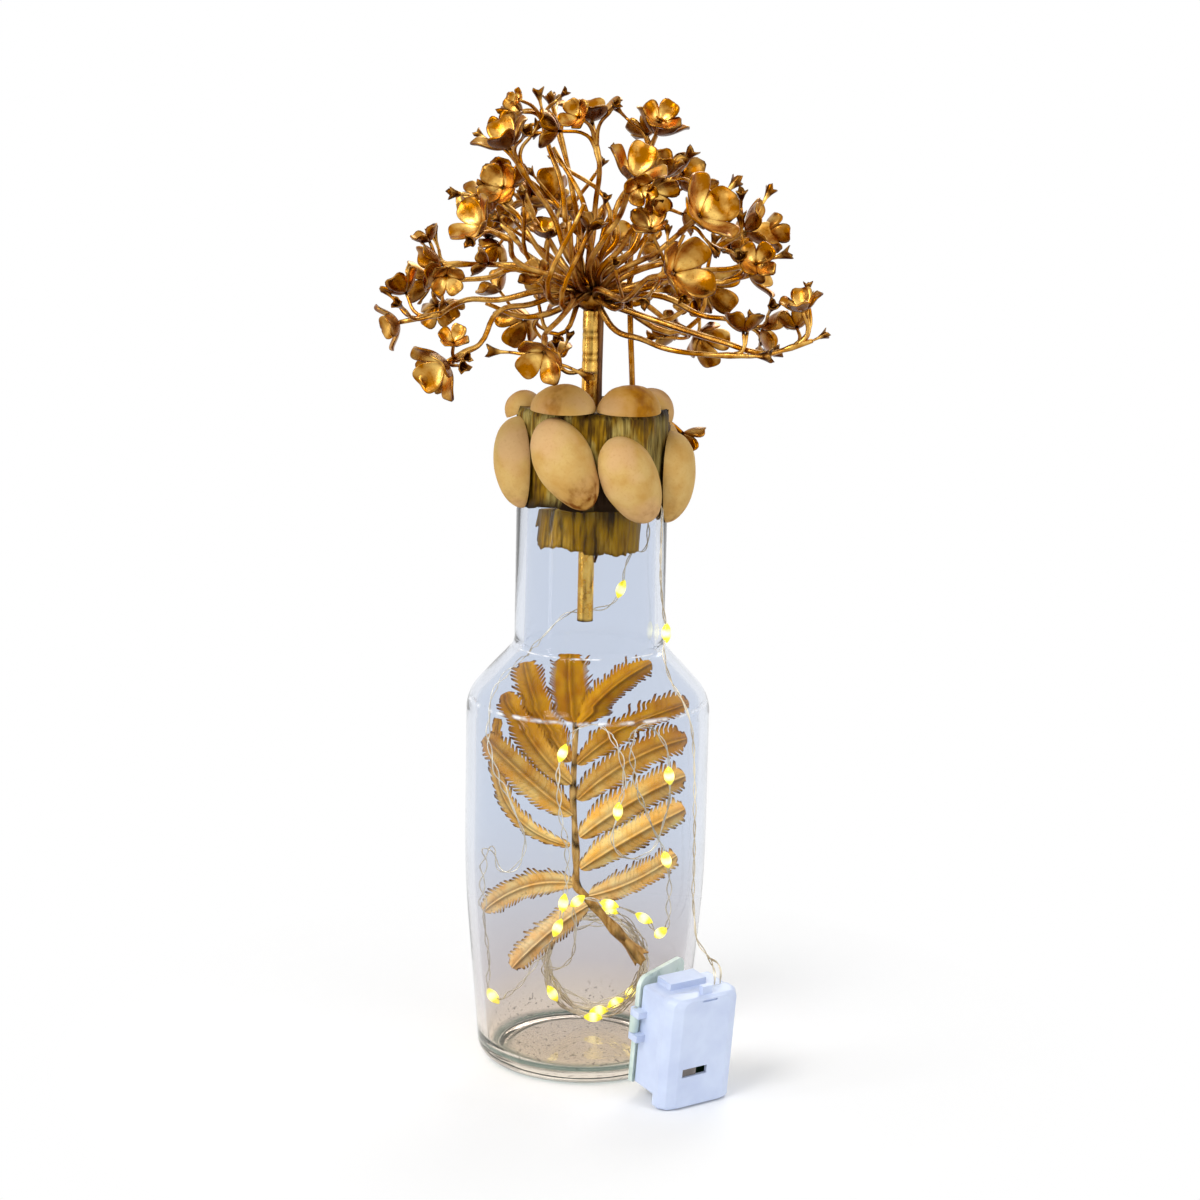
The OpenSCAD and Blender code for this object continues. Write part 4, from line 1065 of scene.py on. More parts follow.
# %% Shell finish
shell_finish, shell_shader = new_finish("dry nut shell", Roughness=0.62, Specular_IOR_Level=0.12)
shell_tone = grain(shell_finish, 7, detail=5)
shell_fine = grain(shell_finish, 0.8, detail=6)
shell_colour = between(shell_finish, shell_tone, paint(196, 152, 80), paint(210, 176, 110), 0.34, 0.64)
shell_bloom = spread(shell_finish, grain(shell_finish, 15, detail=2), 0, 0.6, 0.48, 0.62)
shell_colour = mixed(shell_finish, shell_bloom, shell_colour, paint(214, 172, 126))
shell_specks = spread(shell_finish, shell_fine, 0, 0.3, 0.54, 0.76)
shell_colour = mixed(shell_finish, shell_specks, shell_colour, paint(176, 126, 58))
amber_share = maths(shell_finish, "MULTIPLY", attribute(shell_finish, "amber"),
                    spread(shell_finish, shell_tone, 0.5, 1.1, 0.4, 0.6))
shell_colour = mixed(shell_finish, amber_share, shell_colour, paint(170, 112, 4))
stain = maths(shell_finish, "MULTIPLY", attribute(shell_finish, "stain"),
              spread(shell_finish, grain(shell_finish, 2.6, detail=6), 0.15, 1.25, 0.38, 0.62))
shell_colour = mixed(shell_finish, stain, shell_colour, paint(120, 66, 6))
feed(shell_finish, shell_shader.inputs["Base Color"], shell_colour)
feed(shell_finish, shell_shader.inputs["Roughness"], spread(shell_finish, shell_tone, 0.5, 0.72))
bumped(shell_finish, shell_shader, shell_fine, 0.08, 0.6)
print("shell finish ready")

# %% One half shell
shell_l = 30
shell_w = 18.2
shell_t = 1.0
shell_rim = 0.3
egg_taper = 0.1
deselect()
bpy.ops.mesh.primitive_uv_sphere_add(segments=48, ring_count=28, radius=1)
shell = bpy.context.object
bpy.ops.object.mode_set(mode="EDIT")
bpy.ops.mesh.select_all(action="SELECT")
bpy.ops.mesh.bisect(plane_co=(0, 0, 0), plane_no=(0, 1, 0), clear_outer=True, clear_inner=False)
bpy.ops.object.mode_set(mode="OBJECT")
for vert in shell.data.vertices:
    taper = 1 + egg_taper * vert.co.z
    vert.co = Vector((vert.co.x * taper * shell_w / 2, vert.co.y * taper * shell_w / 2,
                      vert.co.z * shell_l / 2)) * MM
wall = shell.modifiers.new("wall", "SOLIDIFY")
wall.thickness = shell_t * MM
wall.offset = -1
wall.use_even_offset = True
rim = shell.modifiers.new("rim", "BEVEL")
rim.width = shell_rim * MM
rim.segments = 2
rim.limit_method = "ANGLE"
rim.angle_limit = math.radians(50)
apply_modifiers(shell)
weld(shell)
print("shell", len(shell.data.polygons), "faces")

# %% Turning and moving in millimetres


def turn(degrees, axis):
    return Matrix.Rotation(math.radians(degrees), 4, axis)


def move(x, y, z):
    return Matrix.Translation(Vector((x, y, z)) * MM)


print("turning and moving ready")

# %% Seven places round the side
drum_z = drum_low.z / MM
drum_h = 28.2
drum_mm = drum_r / MM
shell_press = 0.3
full_lean = 30
side_stain = 0.35
side_shell_shares = [
    (-0.38, 0.42, 0.35, 0.94), (-0.106, 0.475, 1, 1), (0.158, 0.31, 1, 0.99),
    (0.437, 0.27, -0.2, 0.95), (0.722, 0.36, 0.8, 0.93), (1.008, 0.3, 1, 0.96),
    (1.31, 0.36, 0.9, 0.93)]
placed = []
for number, (bearing, rise, lean, size) in enumerate(side_shell_shares, 1):
    place = (turn(180 * bearing, "Z") @ move(0, shell_press - drum_mm, drum_z + drum_h * rise)
             @ turn(-full_lean * lean, "Y"))
    stained = 1 if number == 2 else side_stain
    placed.append((f"side_shell_{number}", place, Matrix.Scale(size, 4), stained))
print(len(placed), "places")

# %% Six places along the top edge
cover_top = drum_high.z / MM
top_shell_l = 21
top_shell_w = 16
overhang = 3.4
top_stains = (0.6, 1.0, 0.5)
top_l = top_shell_l / shell_l
top_w = top_shell_w / shell_w
top_shell_shares = [
    (-0.161, 0.04, 0.02, 0, 1), (0.183, 0.06, 0.02, 0, 1), (0.522, 0.5, -0.13, 0.15, 0.92),
    (0.83, 0.3, -0.17, 0, 0.82), (1.17, 0.3, -0.17, 0, 0.82), (1.48, 0.28, -0.12, 0, 0.74)]
for number, (bearing, tilt, rise, inward, size) in enumerate(top_shell_shares, 1):
    out = -drum_mm - overhang + top_shell_w * (size / 2 + inward)
    place = (turn(180 * bearing, "Z") @ move(0, out, cover_top + top_shell_w * rise)
             @ turn(-90 + 90 * tilt, "X") @ turn(90, "Y"))
    stretch = Matrix.Diagonal((top_w * size, top_w * size, top_l * size, 1))
    placed.append((f"top_shell_{number}", place, stretch, top_stains[min(number, 3) - 1]))
print(len(placed), "places")

# %% Bend and stain one shell


def bend_and_stain(ob, name, stained, seed):
    """A side shell is streaked at its foot, and a top shell is browned about its middle."""
    along = max(v.co.z for v in ob.data.vertices)
    stain_mark = ob.data.attributes.new("stain", "FLOAT", "POINT")
    amber_mark = ob.data.attributes.new("amber", "FLOAT", "POINT")
    for vert in ob.data.vertices:
        t = vert.co.z / along
        if name.startswith("side"):
            streak_here = noise.noise(Vector((vert.co.x, vert.co.y, vert.co.z * 0.3)) / (1.6 * MM) + seed)
            stain_mark.data[vert.index].value = stained * max(0, -t - 0.3) * (1.3 + 2.2 * streak_here)
            amber_mark.data[vert.index].value = 0.7 * stained * max(0, -t)
        else:
            stain_mark.data[vert.index].value = 0.6 * stained * max(0, 1 - (abs(t - 0.1) / 0.4) ** 2)
            amber_mark.data[vert.index].value = 1.2 * stained * max(0, 1.1 - abs(t))
        lump = noise.noise(vert.co / (9 * MM) + seed) * 0.4 + noise.noise(vert.co / (3 * MM) + seed) * 0.07
        vert.co += Vector((vert.co.x, vert.co.y, 0)).normalized() * lump * MM


print("bending ready")

# %% A cutter that trims the top shells where they meet the drum
cutter_h = 0.1
cutter_inset = 0.5
cutter_sunk = 0.3
deselect()
bpy.ops.mesh.primitive_cylinder_add(
    vertices=96, radius=drum_r - cutter_inset * MM, depth=cutter_h,
    location=(0, 0, drum_high.z - cutter_h / 2 - cutter_sunk * MM))
drum_cutter = bpy.context.object
print("cutter ready")

# %% Bend, place, trim and finish each shell
for number, (name, place, stretch, stained) in enumerate(placed):
    ob = copy_of(shell, stretch)
    bend_and_stain(ob, name, stained, Vector((len(name), number * 3.1, 0)))
    ob.data.transform(place)
    if name.startswith("top"):
        trim = ob.modifiers.new("trim", "BOOLEAN")
        trim.object = drum_cutter
        trim.operation = "DIFFERENCE"
        apply_modifiers(ob)
    pick(ob)
    bpy.ops.object.shade_smooth_by_angle(angle=math.radians(50))
    finished(ob, "nut_" + name, "stopper", "nut_shell", shell_finish, name)
bpy.data.objects.remove(shell)
bpy.data.objects.remove(drum_cutter)
print(len(placed), "shells placed")

# %% [markdown]
# ## Gilding
#
# The umbel, its stems and the fern were dried and sprayed with gold paint. Light and shade are
# painted into that gold: a painted highlight along the tops and in the cups, and painted shade,
# brown, on undersides, in creases and towards the hub. Two marks on the mesh carry this, one for
# the painted highlight and one for painted shade together with the dark joints and cut ends, and
# noise breaks both up. The fern's finish is flatter than the umbel's and its colour runs by height
# from ochre at the top to a sandy peach at the foot, and the thick stem's is yellower.

# %% Gilded finishes


def gilding(name, dark, mid, light, metal, rough, patch_size):
    mat, shader = new_finish(name, Metallic=metal)
    tone = grain(mat, patch_size, detail=5)
    speck = grain(mat, 0.7, detail=4)
    # The painted highlight, broken up by noise, lightens the gold; painted shade and missed spray spots
    # darken it.
    painted_highlight = maths(mat, "ADD", attribute(mat, "painted_highlight"), spread(mat, tone, -0.2, 0.5, 0.38, 0.66))
    colour = mixed(mat, painted_highlight, mid, light)
    missed = spread(mat, speck, 0, 0.5, 0.6, 0.74)
    shade = maths(mat, "MAXIMUM", attribute(mat, "hollow"), missed)
    feed(mat, shader.inputs["Base Color"], mixed(mat, shade, colour, dark))
    feed(mat, shader.inputs["Roughness"], spread(mat, tone, rough * 0.7, rough * 1.3))
    bumped(mat, shader, speck, 0.1, 0.6)
    return mat


umbel_gold = gilding("umbel gilding", paint(70, 29, 0), paint(164, 98, 2), paint(252, 206, 112), 1, 0.28, 5)
stem_gold = gilding("stem gilding", paint(50, 20, 0), paint(212, 138, 12), paint(255, 206, 104), 1, 0.28, 3)
print("gilding ready")

# %% Fern finish, ochre above and peach below
fern_gold, fern_shader = new_finish("fern gilding", Metallic=0.1, Specular_IOR_Level=0.06)
fern_place = add(fern_gold, "TexCoord").outputs["Object"]
fern_height = add(fern_gold, "SeparateXYZ", Vector=fern_place).outputs["Z"]
fern_tone = grain(fern_gold, 5, detail=5)
fern_speck = grain(fern_gold, 0.8, detail=4)
upper = between(fern_gold, fern_tone, paint(182, 112, 0), paint(214, 150, 16), 0.36, 0.64)
centre_tone = between(fern_gold, fern_tone, paint(255, 186, 78), paint(255, 220, 138), 0.36, 0.64)
lower = between(fern_gold, fern_tone, paint(255, 198, 120), paint(255, 228, 170), 0.36, 0.64)
centre_share = spread(fern_gold, fern_height, 1, 0, 74 * MM, 108 * MM)
lower_share = spread(fern_gold, fern_height, 1, 0, 42 * MM, 66 * MM)
fern_colour = mixed(fern_gold, centre_share, upper, centre_tone)
fern_colour = mixed(fern_gold, lower_share, fern_colour, lower)
fern_shade = maths(fern_gold, "MAXIMUM", attribute(fern_gold, "hollow"),
                   spread(fern_gold, fern_speck, 0, 0.5, 0.56, 0.72))
feed(fern_gold, fern_shader.inputs["Base Color"],
     mixed(fern_gold, fern_shade, fern_colour, paint(84, 42, 4)))
feed(fern_gold, fern_shader.inputs["Roughness"], spread(fern_gold, fern_tone, 0.42, 0.66))
bumped(fern_gold, fern_shader, fern_speck, 0.1, 0.6)
print("fern finish ready")

# %% The fern's stalk, browner and blotched at its joints
rachis_finish, rachis_shader = new_finish("fern stalk", Roughness=0.5, Specular_IOR_Level=0.15)
rachis_grain = grain(rachis_finish, 1.4, (1, 1, 5), detail=5)
rachis_tone = between(rachis_finish, rachis_grain, paint(154, 106, 42), paint(212, 166, 92), 0.36, 0.62)
rachis_shade = spread(rachis_finish, attribute(rachis_finish, "hollow"), 0, 0.95, 0.2, 1)
feed(rachis_finish, rachis_shader.inputs["Base Color"],
     mixed(rachis_finish, rachis_shade, rachis_tone, paint(52, 36, 8)))
bumped(rachis_finish, rachis_shader, rachis_grain, 0.2, 0.7)
print("stalk finish ready")

# %% Bare wood of the second stick
dark_wood, dark_shader = new_finish("dark dry stick", Roughness=0.5)
stick_grain = grain(dark_wood, 0.8, (1, 1, 9))
feed(dark_wood, dark_shader.inputs["Base Color"],
     between(dark_wood, stick_grain, paint(70, 36, 6), paint(150, 96, 26), 0.35, 0.65))
bumped(dark_wood, dark_shader, stick_grain, 0.15, 0.7)
print("stick finish ready")

# %% [markdown]
# ## Rays, stalks and sprigs
#
# A ray is a thin stalk that leaves the hub and bends up under its flower. The middle lines come
# from the frame's rays, six points to each, and a smooth curve goes through them with a round
# section that swells at the joints. Near its end every ray splits at a knot into short stalks
# with a smaller flower or a bud each, which the frame leaves out. They are set by seeded chance
# inside the frame's own reach.

# %% Stalks as one curve with many splines


def stalks(name, lines):
    data = bpy.data.curves.new(name, "CURVE")
    data.dimensions = "3D"
    data.resolution_u = 5
    data.bevel_depth = 1
    data.bevel_resolution = 2
    data.use_fill_caps = True
    for points, radii in lines:
        spline = data.splines.new("BEZIER")
        spline.bezier_points.add(len(points) - 1)
        for point, place, radius in zip(spline.bezier_points, points, radii):
            point.co = place
            point.radius = radius
            point.handle_left_type = "AUTO"
            point.handle_right_type = "AUTO"
    ob = bpy.data.objects.new(name, data)
    bpy.context.scene.collection.objects.link(ob)
    pick(ob)
    bpy.ops.object.convert(target="MESH")
    ob = bpy.context.object
    weld(ob)
    bpy.ops.object.shade_smooth()
    return ob


print("stalks ready")

# %% Mark painted highlights on tops and painted shade on undersides


def mark_painted_light(ob, hollow, painted_highlight=0.0):
    """Paint shade onto undersides and a highlight onto tops, beside what the mesh already says."""
    marks = []
    for name in ("hollow", "painted_highlight"):
        marks.append(ob.data.attributes.get(name) or ob.data.attributes.new(name, "FLOAT", "POINT"))
    for vert in ob.data.vertices:
        up = vert.normal.z
        base = hollow(vert.co) if callable(hollow) else hollow
        marks[0].data[vert.index].value += base + 0.75 * max(0, -up - 0.15)
        marks[1].data[vert.index].value += painted_highlight + 0.35 * max(0, up - 0.3)


print("paint marks ready")

# %% Where rays, flowers and buds are
sectors = ("top", "left", "right", "front", "back")
hub_low, hub_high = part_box("umbel_hub")
hub = (hub_low + hub_high) / 2
flower_solids = {s: [(middle(p), p) for p in solids_of("flowers_" + s)] for s in sectors}
ray_lines = {}
for sector in sectors:
    ray_lines[sector] = []
    for solid in solids_of("rays_" + sector):
        ray_lines[sector].append(middle_line(solid, 6, lambda p: (p - hub).length))
flower_size_share = 0.653


def flower_at(tip, sector):
    """How wide the frame's flower at this ray's end is, or 0 where there is only a bud."""
    for centre, points in flower_solids[sector]:
        if (centre - tip).length < 6 * MM:
            return max((p - tip).length for p in points) / flower_size_share
    return 0


print({s: len(lines) for s, lines in ray_lines.items()})

# %% [markdown]
# ## Flowers and buds
# A dried flower is a cup of four thick petals with a small horn on one of them, and a bud is a
# trumpet whose mouth has three lobes. A petal is a small grid, narrow at its root, whose rows are
# lifted into a cup and whose points carry a painted highlight inside the cup and painted shade at
# the root, with darker rims and horn tip. Four of them make a flower, which is given its wall and
# smoothed, and whose underside is painted in shade. The small florets of the side stalks are the
# same flower without the smoothing, since they are many and tiny. A bud is a short profile turned
# as the bottle was, painted in shade inside its cup.

# %% How wide a petal is at each share of its length
petal_steps = (0, 0.12, 0.27, 0.43, 0.58, 0.72, 0.84, 0.93, 1)
petal_columns = 6
petal_root = 0.1
petal_swell = 0.42
petal_widest = 0.52
widest_at = 0.62


def petal_half_width(v):
    if v < widest_at:
        return petal_root + petal_swell * math.sin(math.pi / 2 * v / widest_at) ** 1.2
    return petal_widest * math.sqrt(max(0, 1 - ((v - widest_at) / 0.385) ** 2))


print("petal", [round(petal_half_width(v), 2) for v in petal_steps])

# %% One cupped petal


def petal(angle, lift, horn):
    deselect()
    bpy.ops.mesh.primitive_grid_add(x_subdivisions=petal_columns, y_subdivisions=len(petal_steps) - 1,
                                    size=2)
    ob = bpy.context.object
    hollow = ob.data.attributes.new("hollow", "FLOAT", "POINT")
    painted_highlight = ob.data.attributes.new("painted_highlight", "FLOAT", "POINT")
    for vert in ob.data.vertices:
        u = vert.co.x
        v = petal_steps[round((vert.co.y + 1) / 2 * (len(petal_steps) - 1))]
        half = petal_half_width(v)
        rise = 0.8 * v * v - 0.22 * max(0, (v - 0.72) / 0.28) ** 2 + 0.42 * half * u * u + lift * v
        rim = max(0, abs(u) - 0.7) / 0.3
        # Painted shade at the root, darker rims and horn tip, and a painted highlight inside the cup.
        hollow.data[vert.index].value = 0.3 * rim * v + max(0, v - 0.9) * 9 * horn + 0.8 * (v == 0)
        painted_highlight.data[vert.index].value = max(0, 0.95 - 4 * abs(v - 0.32)) * (1 - 0.5 * rim)
        spike = horn * 0.16 * (v == 1)
        vert.co = Vector((u * half, 0.05 + 0.95 * v + spike, rise + spike * 0.8))
    ob.data.transform(Matrix.Rotation(angle, 4, "Z"))
    return ob


print("petal ready")

# %% Four petals make a flower
petal_shapes = ((0, 0, 0.7), (1, 0.08, 0), (2, -0.03, 0), (3, 0.1, 0))
petal_gap = 0.0005
petal_t = 0.08


def flower_model(levels):
    ob = joined([petal(math.pi / 2 * (i - 1), lift, horn) for i, lift, horn in petal_shapes])
    weld(ob, petal_gap)
    wall = ob.modifiers.new("wall", "SOLIDIFY")
    wall.thickness = petal_t
    wall.offset = -1
    if levels:
        smooth = ob.modifiers.new("smooth", "SUBSURF")
        smooth.levels = levels
        smooth.render_levels = levels
    apply_modifiers(ob)
    # The undersides are painted in shade and lose the painted highlight.
    for vert in ob.data.vertices:
        if vert.normal.z < -0.05:
            ob.data.attributes["painted_highlight"].data[vert.index].value = 0
            ob.data.attributes["hollow"].data[vert.index].value += 0.3
    bpy.ops.object.shade_smooth()
    return ob


flower = flower_model(1)
floret = flower_model(0)
print("flower", len(flower.data.polygons), "faces, floret", len(floret.data.polygons))

# %% One trumpet bud with three lobes
bud_line = [(0.45, -0.6), (0.5, 0.8), (0.62, 2.6), (1.25, 4.6), (1.95, 6.2), (1.9, 6.7), (1.2, 5.7),
            (0.15, 4.4)]
bud_sides = 9
lobes = 3
lobe_out = 0.3
lobe_up = 0.7
opens_at = 2.6
opens_over = 3.6
bud = turned(bud_line, bud_sides)
bud_hollow = bud.data.attributes.new("hollow", "FLOAT", "POINT")
bud_painted_highlight = bud.data.attributes.new("painted_highlight", "FLOAT", "POINT")
for vert in bud.data.vertices:
    angle = math.atan2(vert.co.y, vert.co.x)
    z = vert.co.z / MM
    open_share = max(0, min(1, (z - opens_at) / opens_over))
    inside_cup = vert.co.xy.length < 1.6 * MM and z > 4.3
    # Painted shade inside the cup and towards the lobes, and a painted highlight on the tube.
    bud_hollow.data[vert.index].value = 0.9 if inside_cup else 0.5 * max(0, open_share - 0.7) / 0.3
    bud_painted_highlight.data[vert.index].value = 0.3 * (1 - open_share)
    vert.co.xy *= 1 + lobe_out * open_share * math.cos(lobes * angle)
    vert.co.z += lobe_up * MM * open_share * math.cos(lobes * angle)
bpy.ops.object.shade_smooth()
print("bud", len(bud.data.polygons), "faces")

# %% Aim a copy along a stalk


def aimed(place, way, size):
    """Carries a piece that points up at the origin to this place, pointing this way."""
    lean = math.acos(max(-1, min(1, way.z / way.length)))
    bearing = math.atan2(way.y, way.x)
    return (Matrix.Translation(place) @ Matrix.Rotation(bearing, 4, "Z")
            @ Matrix.Rotation(lean, 4, "Y") @ Matrix.Scale(size, 4))


print("aiming ready")

# %% Set a flower or bud inside the frame's reach
reach_low = Vector(cad_box[0])
reach_high = Vector(cad_box[1])
reach_margin = 0.1 * MM
most_tries = 12
shrink = 0.85


def inside_reach(place, margin=reach_margin):
    return all(lo + margin < v < hi - margin for lo, v, hi in zip(reach_low, place, reach_high))


def set_on(model, place, way, size):
    """A copy at a stalk's end, spun by chance and shrunk until it lies inside the frame's reach."""
    spin = Matrix.Rotation(random.uniform(0, math.tau), 4, "Z")
    for _ in range(most_tries):
        ob = copy_of(model, aimed(place, way, size) @ spin)
        if all(inside_reach(v.co) for v in ob.data.vertices):
            return ob
        bpy.data.objects.remove(ob)
        size *= shrink
    return copy_of(model, aimed(place, way, size) @ spin)


print("reach", [round(v, 3) for v in reach_low], [round(v, 3) for v in reach_high])

# %% A side stalk by chance
stalk_tries = 20
lowest_end = hub.z - 20 * MM


def side_stalk(start, way, length):
    """Three points that leave a ray sideways and turn up, or none if no try stays in reach."""
    for _ in range(stalk_tries):
        side = Vector([random.uniform(-1, 1) for _ in range(3)])
        side = (side - way * side.dot(way)).normalized()
        out = (way * random.uniform(0.35, 1) + side * random.uniform(0.6, 1.2)).normalized()
        bend = start + (way * 0.3 + out * 0.25) * length
        end = start + out * length + Vector((0, 0, 0.12 * length))
        if inside_reach(end + out * 4 * MM, 1 * MM) and end.z > lowest_end:
            return [start, bend, end]
    return None


print("side stalks end above", round(lowest_end, 3), "m")

# %% Make a ray's line a little crooked
crook_size = 15
crook_reach = 8


def wavy(line):
    """The ends stay where they are, and the middle strays most."""
    bent = [line[0]]
    for i in range(1, len(line) - 1):
        share = math.sin(math.pi * i / (len(line) - 1))
        bent.append(line[i] + noise.noise_vector(line[i] / (crook_size * MM)) * crook_reach * MM * share)
    return bent + [line[-1]]


print("rays may stray by", crook_reach, "mm at most")

# %% One ray with its knot and side stalks
ray_root_r = 1.05
ray_tip_r = 0.72
side_radii = [0.74 * MM, 0.6 * MM, 0.5 * MM]
knot_swell = 1.5
flower_growth = 1.2
flower_chance = 0.38
buds = []


def grow_ray(line, sector, lines, blooms):
    tip = line[-1]
    way = (line[-1] - line[-2]).normalized()
    radii = [(ray_root_r + (ray_tip_r - ray_root_r) * i / 5) * MM for i in range(6)]
    crooked = wavy(line)
    knot = crooked[4].lerp(tip, random.uniform(0, 0.5))
    crooked.insert(5, knot)
    radii.insert(5, knot_swell * ray_tip_r * MM)
    lines.append((crooked, radii))
    size = flower_at(tip, sector)
    if size:
        cup = Matrix.Diagonal((1, 1, random.uniform(0.8, 1.2), 1))
        flower.data.transform(cup)
        blooms.append(set_on(flower, tip, way, size / 2 * flower_growth))
        flower.data.transform(cup.inverted())
    else:
        buds.append(set_on(bud, tip, way, 1.05))
    for _ in range(random.choice((2, 3, 3, 4))):
        start = knot.lerp(tip, random.uniform(0, 0.35))
        stalk = side_stalk(start, way, random.uniform(6, 14) * MM)
        if stalk is None:
            continue
        lines.append((stalk, side_radii))
        end_way = (stalk[2] - stalk[1]).normalized()
        if random.random() < flower_chance:
            blooms.append(set_on(floret, stalk[2], end_way, random.uniform(4.5, 7.5) * MM))
        else:
            buds.append(set_on(bud, stalk[2], end_way, random.uniform(0.65, 1.05)))


print("rays from", ray_root_r, "to", ray_tip_r, "mm in radius")

# %% Build the umbel sector by sector
shade_near_hub = 36
random.seed(11)
for sector in sectors:
    lines = []
    blooms = []
    for line in ray_lines[sector]:
        grow_ray(line, sector, lines, blooms)
    rays_piece = stalks("umbel_rays_" + sector, lines)
    # Painted shade on undersides, deepening towards the hub, and a painted highlight on tops.
    mark_painted_light(rays_piece, lambda p: max(0, 0.5 - (p - hub).length / (shade_near_hub * MM)), 0.1)
    finished(rays_piece, "umbel_rays_" + sector, "stopper", "gilded_umbel", umbel_gold, "rays_" + sector)
    bloom_piece = joined(blooms)
    # Painted shade on the flowers' undersides and a painted highlight on their tops.
    mark_painted_light(bloom_piece, 0)
    finished(bloom_piece, "umbel_flowers_" + sector, "stopper", "gilded_umbel", umbel_gold,
             "flowers_" + sector)
    print(sector, len(lines), "stalks", len(blooms), "flowers")
print(len(buds), "buds so far")

# %% Shorter stalks that fill the middle
inner_count = 32
inner_shade = 30
inner_flower_chance = 0.3
inner_bud_chance = 0.35
inner_lines = []
inner_blooms = []
for _ in range(inner_count):
    bearing = random.uniform(0, math.tau)
    lift = random.uniform(-0.3, 1.35)
    way = Vector((math.cos(bearing) * math.cos(lift), math.sin(bearing) * math.cos(lift), math.sin(lift)))
    length = random.uniform(15, 40) * MM
    sway = noise.noise_vector(way * 3) * 0.7 * length
    start = hub + way * 4 * MM
    bend = hub + way * length * 0.55 + sway
    end = hub + way * length + Vector((0, 0, 0.2 * length))
    thick = random.uniform(1.0, 1.6) * MM
    inner_lines.append(([start, bend, end], [0.78 * thick, 0.6 * thick, 0.45 * thick]))
    end_way = (end - bend).normalized()
    chance = random.random()
    if chance < inner_flower_chance:
        inner_blooms.append(set_on(floret, end, end_way, random.uniform(4, 6.5) * MM))
    elif chance < inner_flower_chance + inner_bud_chance:
        buds.append(set_on(bud, end, end_way, random.uniform(0.6, 0.95)))
inner = stalks("umbel_inner_stalks", inner_lines)
# Painted shade deepening towards the hub, and a painted highlight on tops.
mark_painted_light(inner, lambda p: max(0, 0.7 - (p - hub).length / (inner_shade * MM)))
finished(inner, "umbel_inner_stalks", "stopper", "gilded_umbel", umbel_gold)
inner_bloom = joined(inner_blooms)
# Painted shade and painted highlight on the inner flowers.
mark_painted_light(inner_bloom, 0.1)
finished(inner_bloom, "umbel_inner_flowers", "stopper", "gilded_umbel", umbel_gold)
print(len(inner_lines), "inner stalks", len(inner_blooms), "inner flowers")

# %% Hub
hub_share = 0.92
hub_lump = 0.14
hub_lump_size = 1.5
deselect()
bpy.ops.mesh.primitive_uv_sphere_add(segments=28, ring_count=18, radius=(hub_high.x - hub_low.x) / 2,
                                     location=hub)
hub_ball = bpy.context.object
set_down(hub_ball)
for vert in hub_ball.data.vertices:
    away = vert.co - hub
    away *= hub_share + hub_lump * noise.noise(away / (hub_lump_size * MM))
    vert.co = hub + away
# The hub is painted in shade.
mark_painted_light(hub_ball, 0.45)
bpy.ops.object.shade_smooth()
finished(hub_ball, "umbel_receptacle", "stopper", "gilded_umbel", umbel_gold, "umbel_hub")
print("hub", len(hub_ball.data.polygons), "faces")

# %% Thin stem
thin_line = middle_line([p for part in solids_of("thin_stem") for p in part], 8, lambda p: p.z)
thin_radii = [0.9 * MM] * 4 + [0.75 * MM]
thin = stalks("thin_stem_stalk", [(thin_line, thin_radii)])
# Painted shade and painted highlight on the thin stem.
mark_painted_light(thin, 0.25)
finished(thin, "thin_stem_stalk", "stopper", "gilded_umbel", umbel_gold, "thin_stem")
print("thin stem of", len(thin_line), "points")

# %% Lines of the sprigs that hang below the umbel
umbel_r = 70
stem_x = -1.5
hub_rise = 33
drum_d = 48
thread_r = 0.7
sprig_lines = []
sprig_ends = []
sprig_shares = [
    [(0, 0, 0), (-0.11, -0.01, -0.33), (-0.15, -0.02, -0.31)],
    [(0, 0, 0), (0.13, 0.14, -0.51), (0.24, 0.18, -0.52), (0.34, 0.21, -0.57), (0.4, 0.22, -0.62)]]
sprig_starts = [(stem_x - 1, 0, hub.z / MM - hub_rise * 0.66),
                (drum_d * 0.102, drum_d * 0.131, cover_top - 1.9)]
for start, shares in zip(sprig_starts, sprig_shares):
    points = [Vector(start) * MM]
    points += [Vector((x * umbel_r, y * umbel_r, hub.z / MM + z * umbel_r)) * MM for x, y, z in shares[1:]]
    sprig_lines.append((points, [thread_r * MM] * len(points)))
    sprig_ends.append((points[-2], points[-1]))
print(len(sprig_lines), "sprigs")

# %% Buds and side stalks of the sprigs
(before, end), (before_floret, floret_end) = sprig_ends
way = (end - before).normalized()
buds.append(set_on(bud, end, way, 1.1))
for _ in range(2):
    stalk = side_stalk(before.lerp(end, 0.6), way, random.uniform(5, 7) * MM)
    sprig_lines.append((stalk, [0.5 * MM, 0.45 * MM, 0.4 * MM]))
    buds.append(set_on(bud, stalk[2], (stalk[2] - stalk[1]).normalized(), 0.75))
buds.append(set_on(floret, floret_end, (floret_end - before_floret).normalized(), 6.5 * MM))
sprigs = stalks("sprig_stalks", sprig_lines)
# Painted shade and painted highlight on the sprigs.
mark_painted_light(sprigs, 0.2)
finished(sprigs, "sprig_stalks", "stopper", "gilded_umbel", umbel_gold, "stem_sprigs")
bud_count = len(buds)
bud_piece = joined(buds)
# Painted shade and painted highlight on the buds.
mark_painted_light(bud_piece, 0)
finished(bud_piece, "umbel_buds", "stopper", "gilded_umbel", umbel_gold, "bud_tips")
for model in (flower, floret, bud):
    bpy.data.objects.remove(model)
print(bud_count, "buds in all")

# %% [markdown]
# ## The thick stem and the stick beside it
#
# The umbel stands on a straight stem as thick as a pencil lead's wood, ringed like a bamboo cane
# near its top, with one dark joint band and a cut foot that shows under the skirt. A cylinder is
# laid down and cut across into many rings, and the rings are then scaled in and out. A flat dark
# stick stands hard by it, which wedges the stem in its hole.

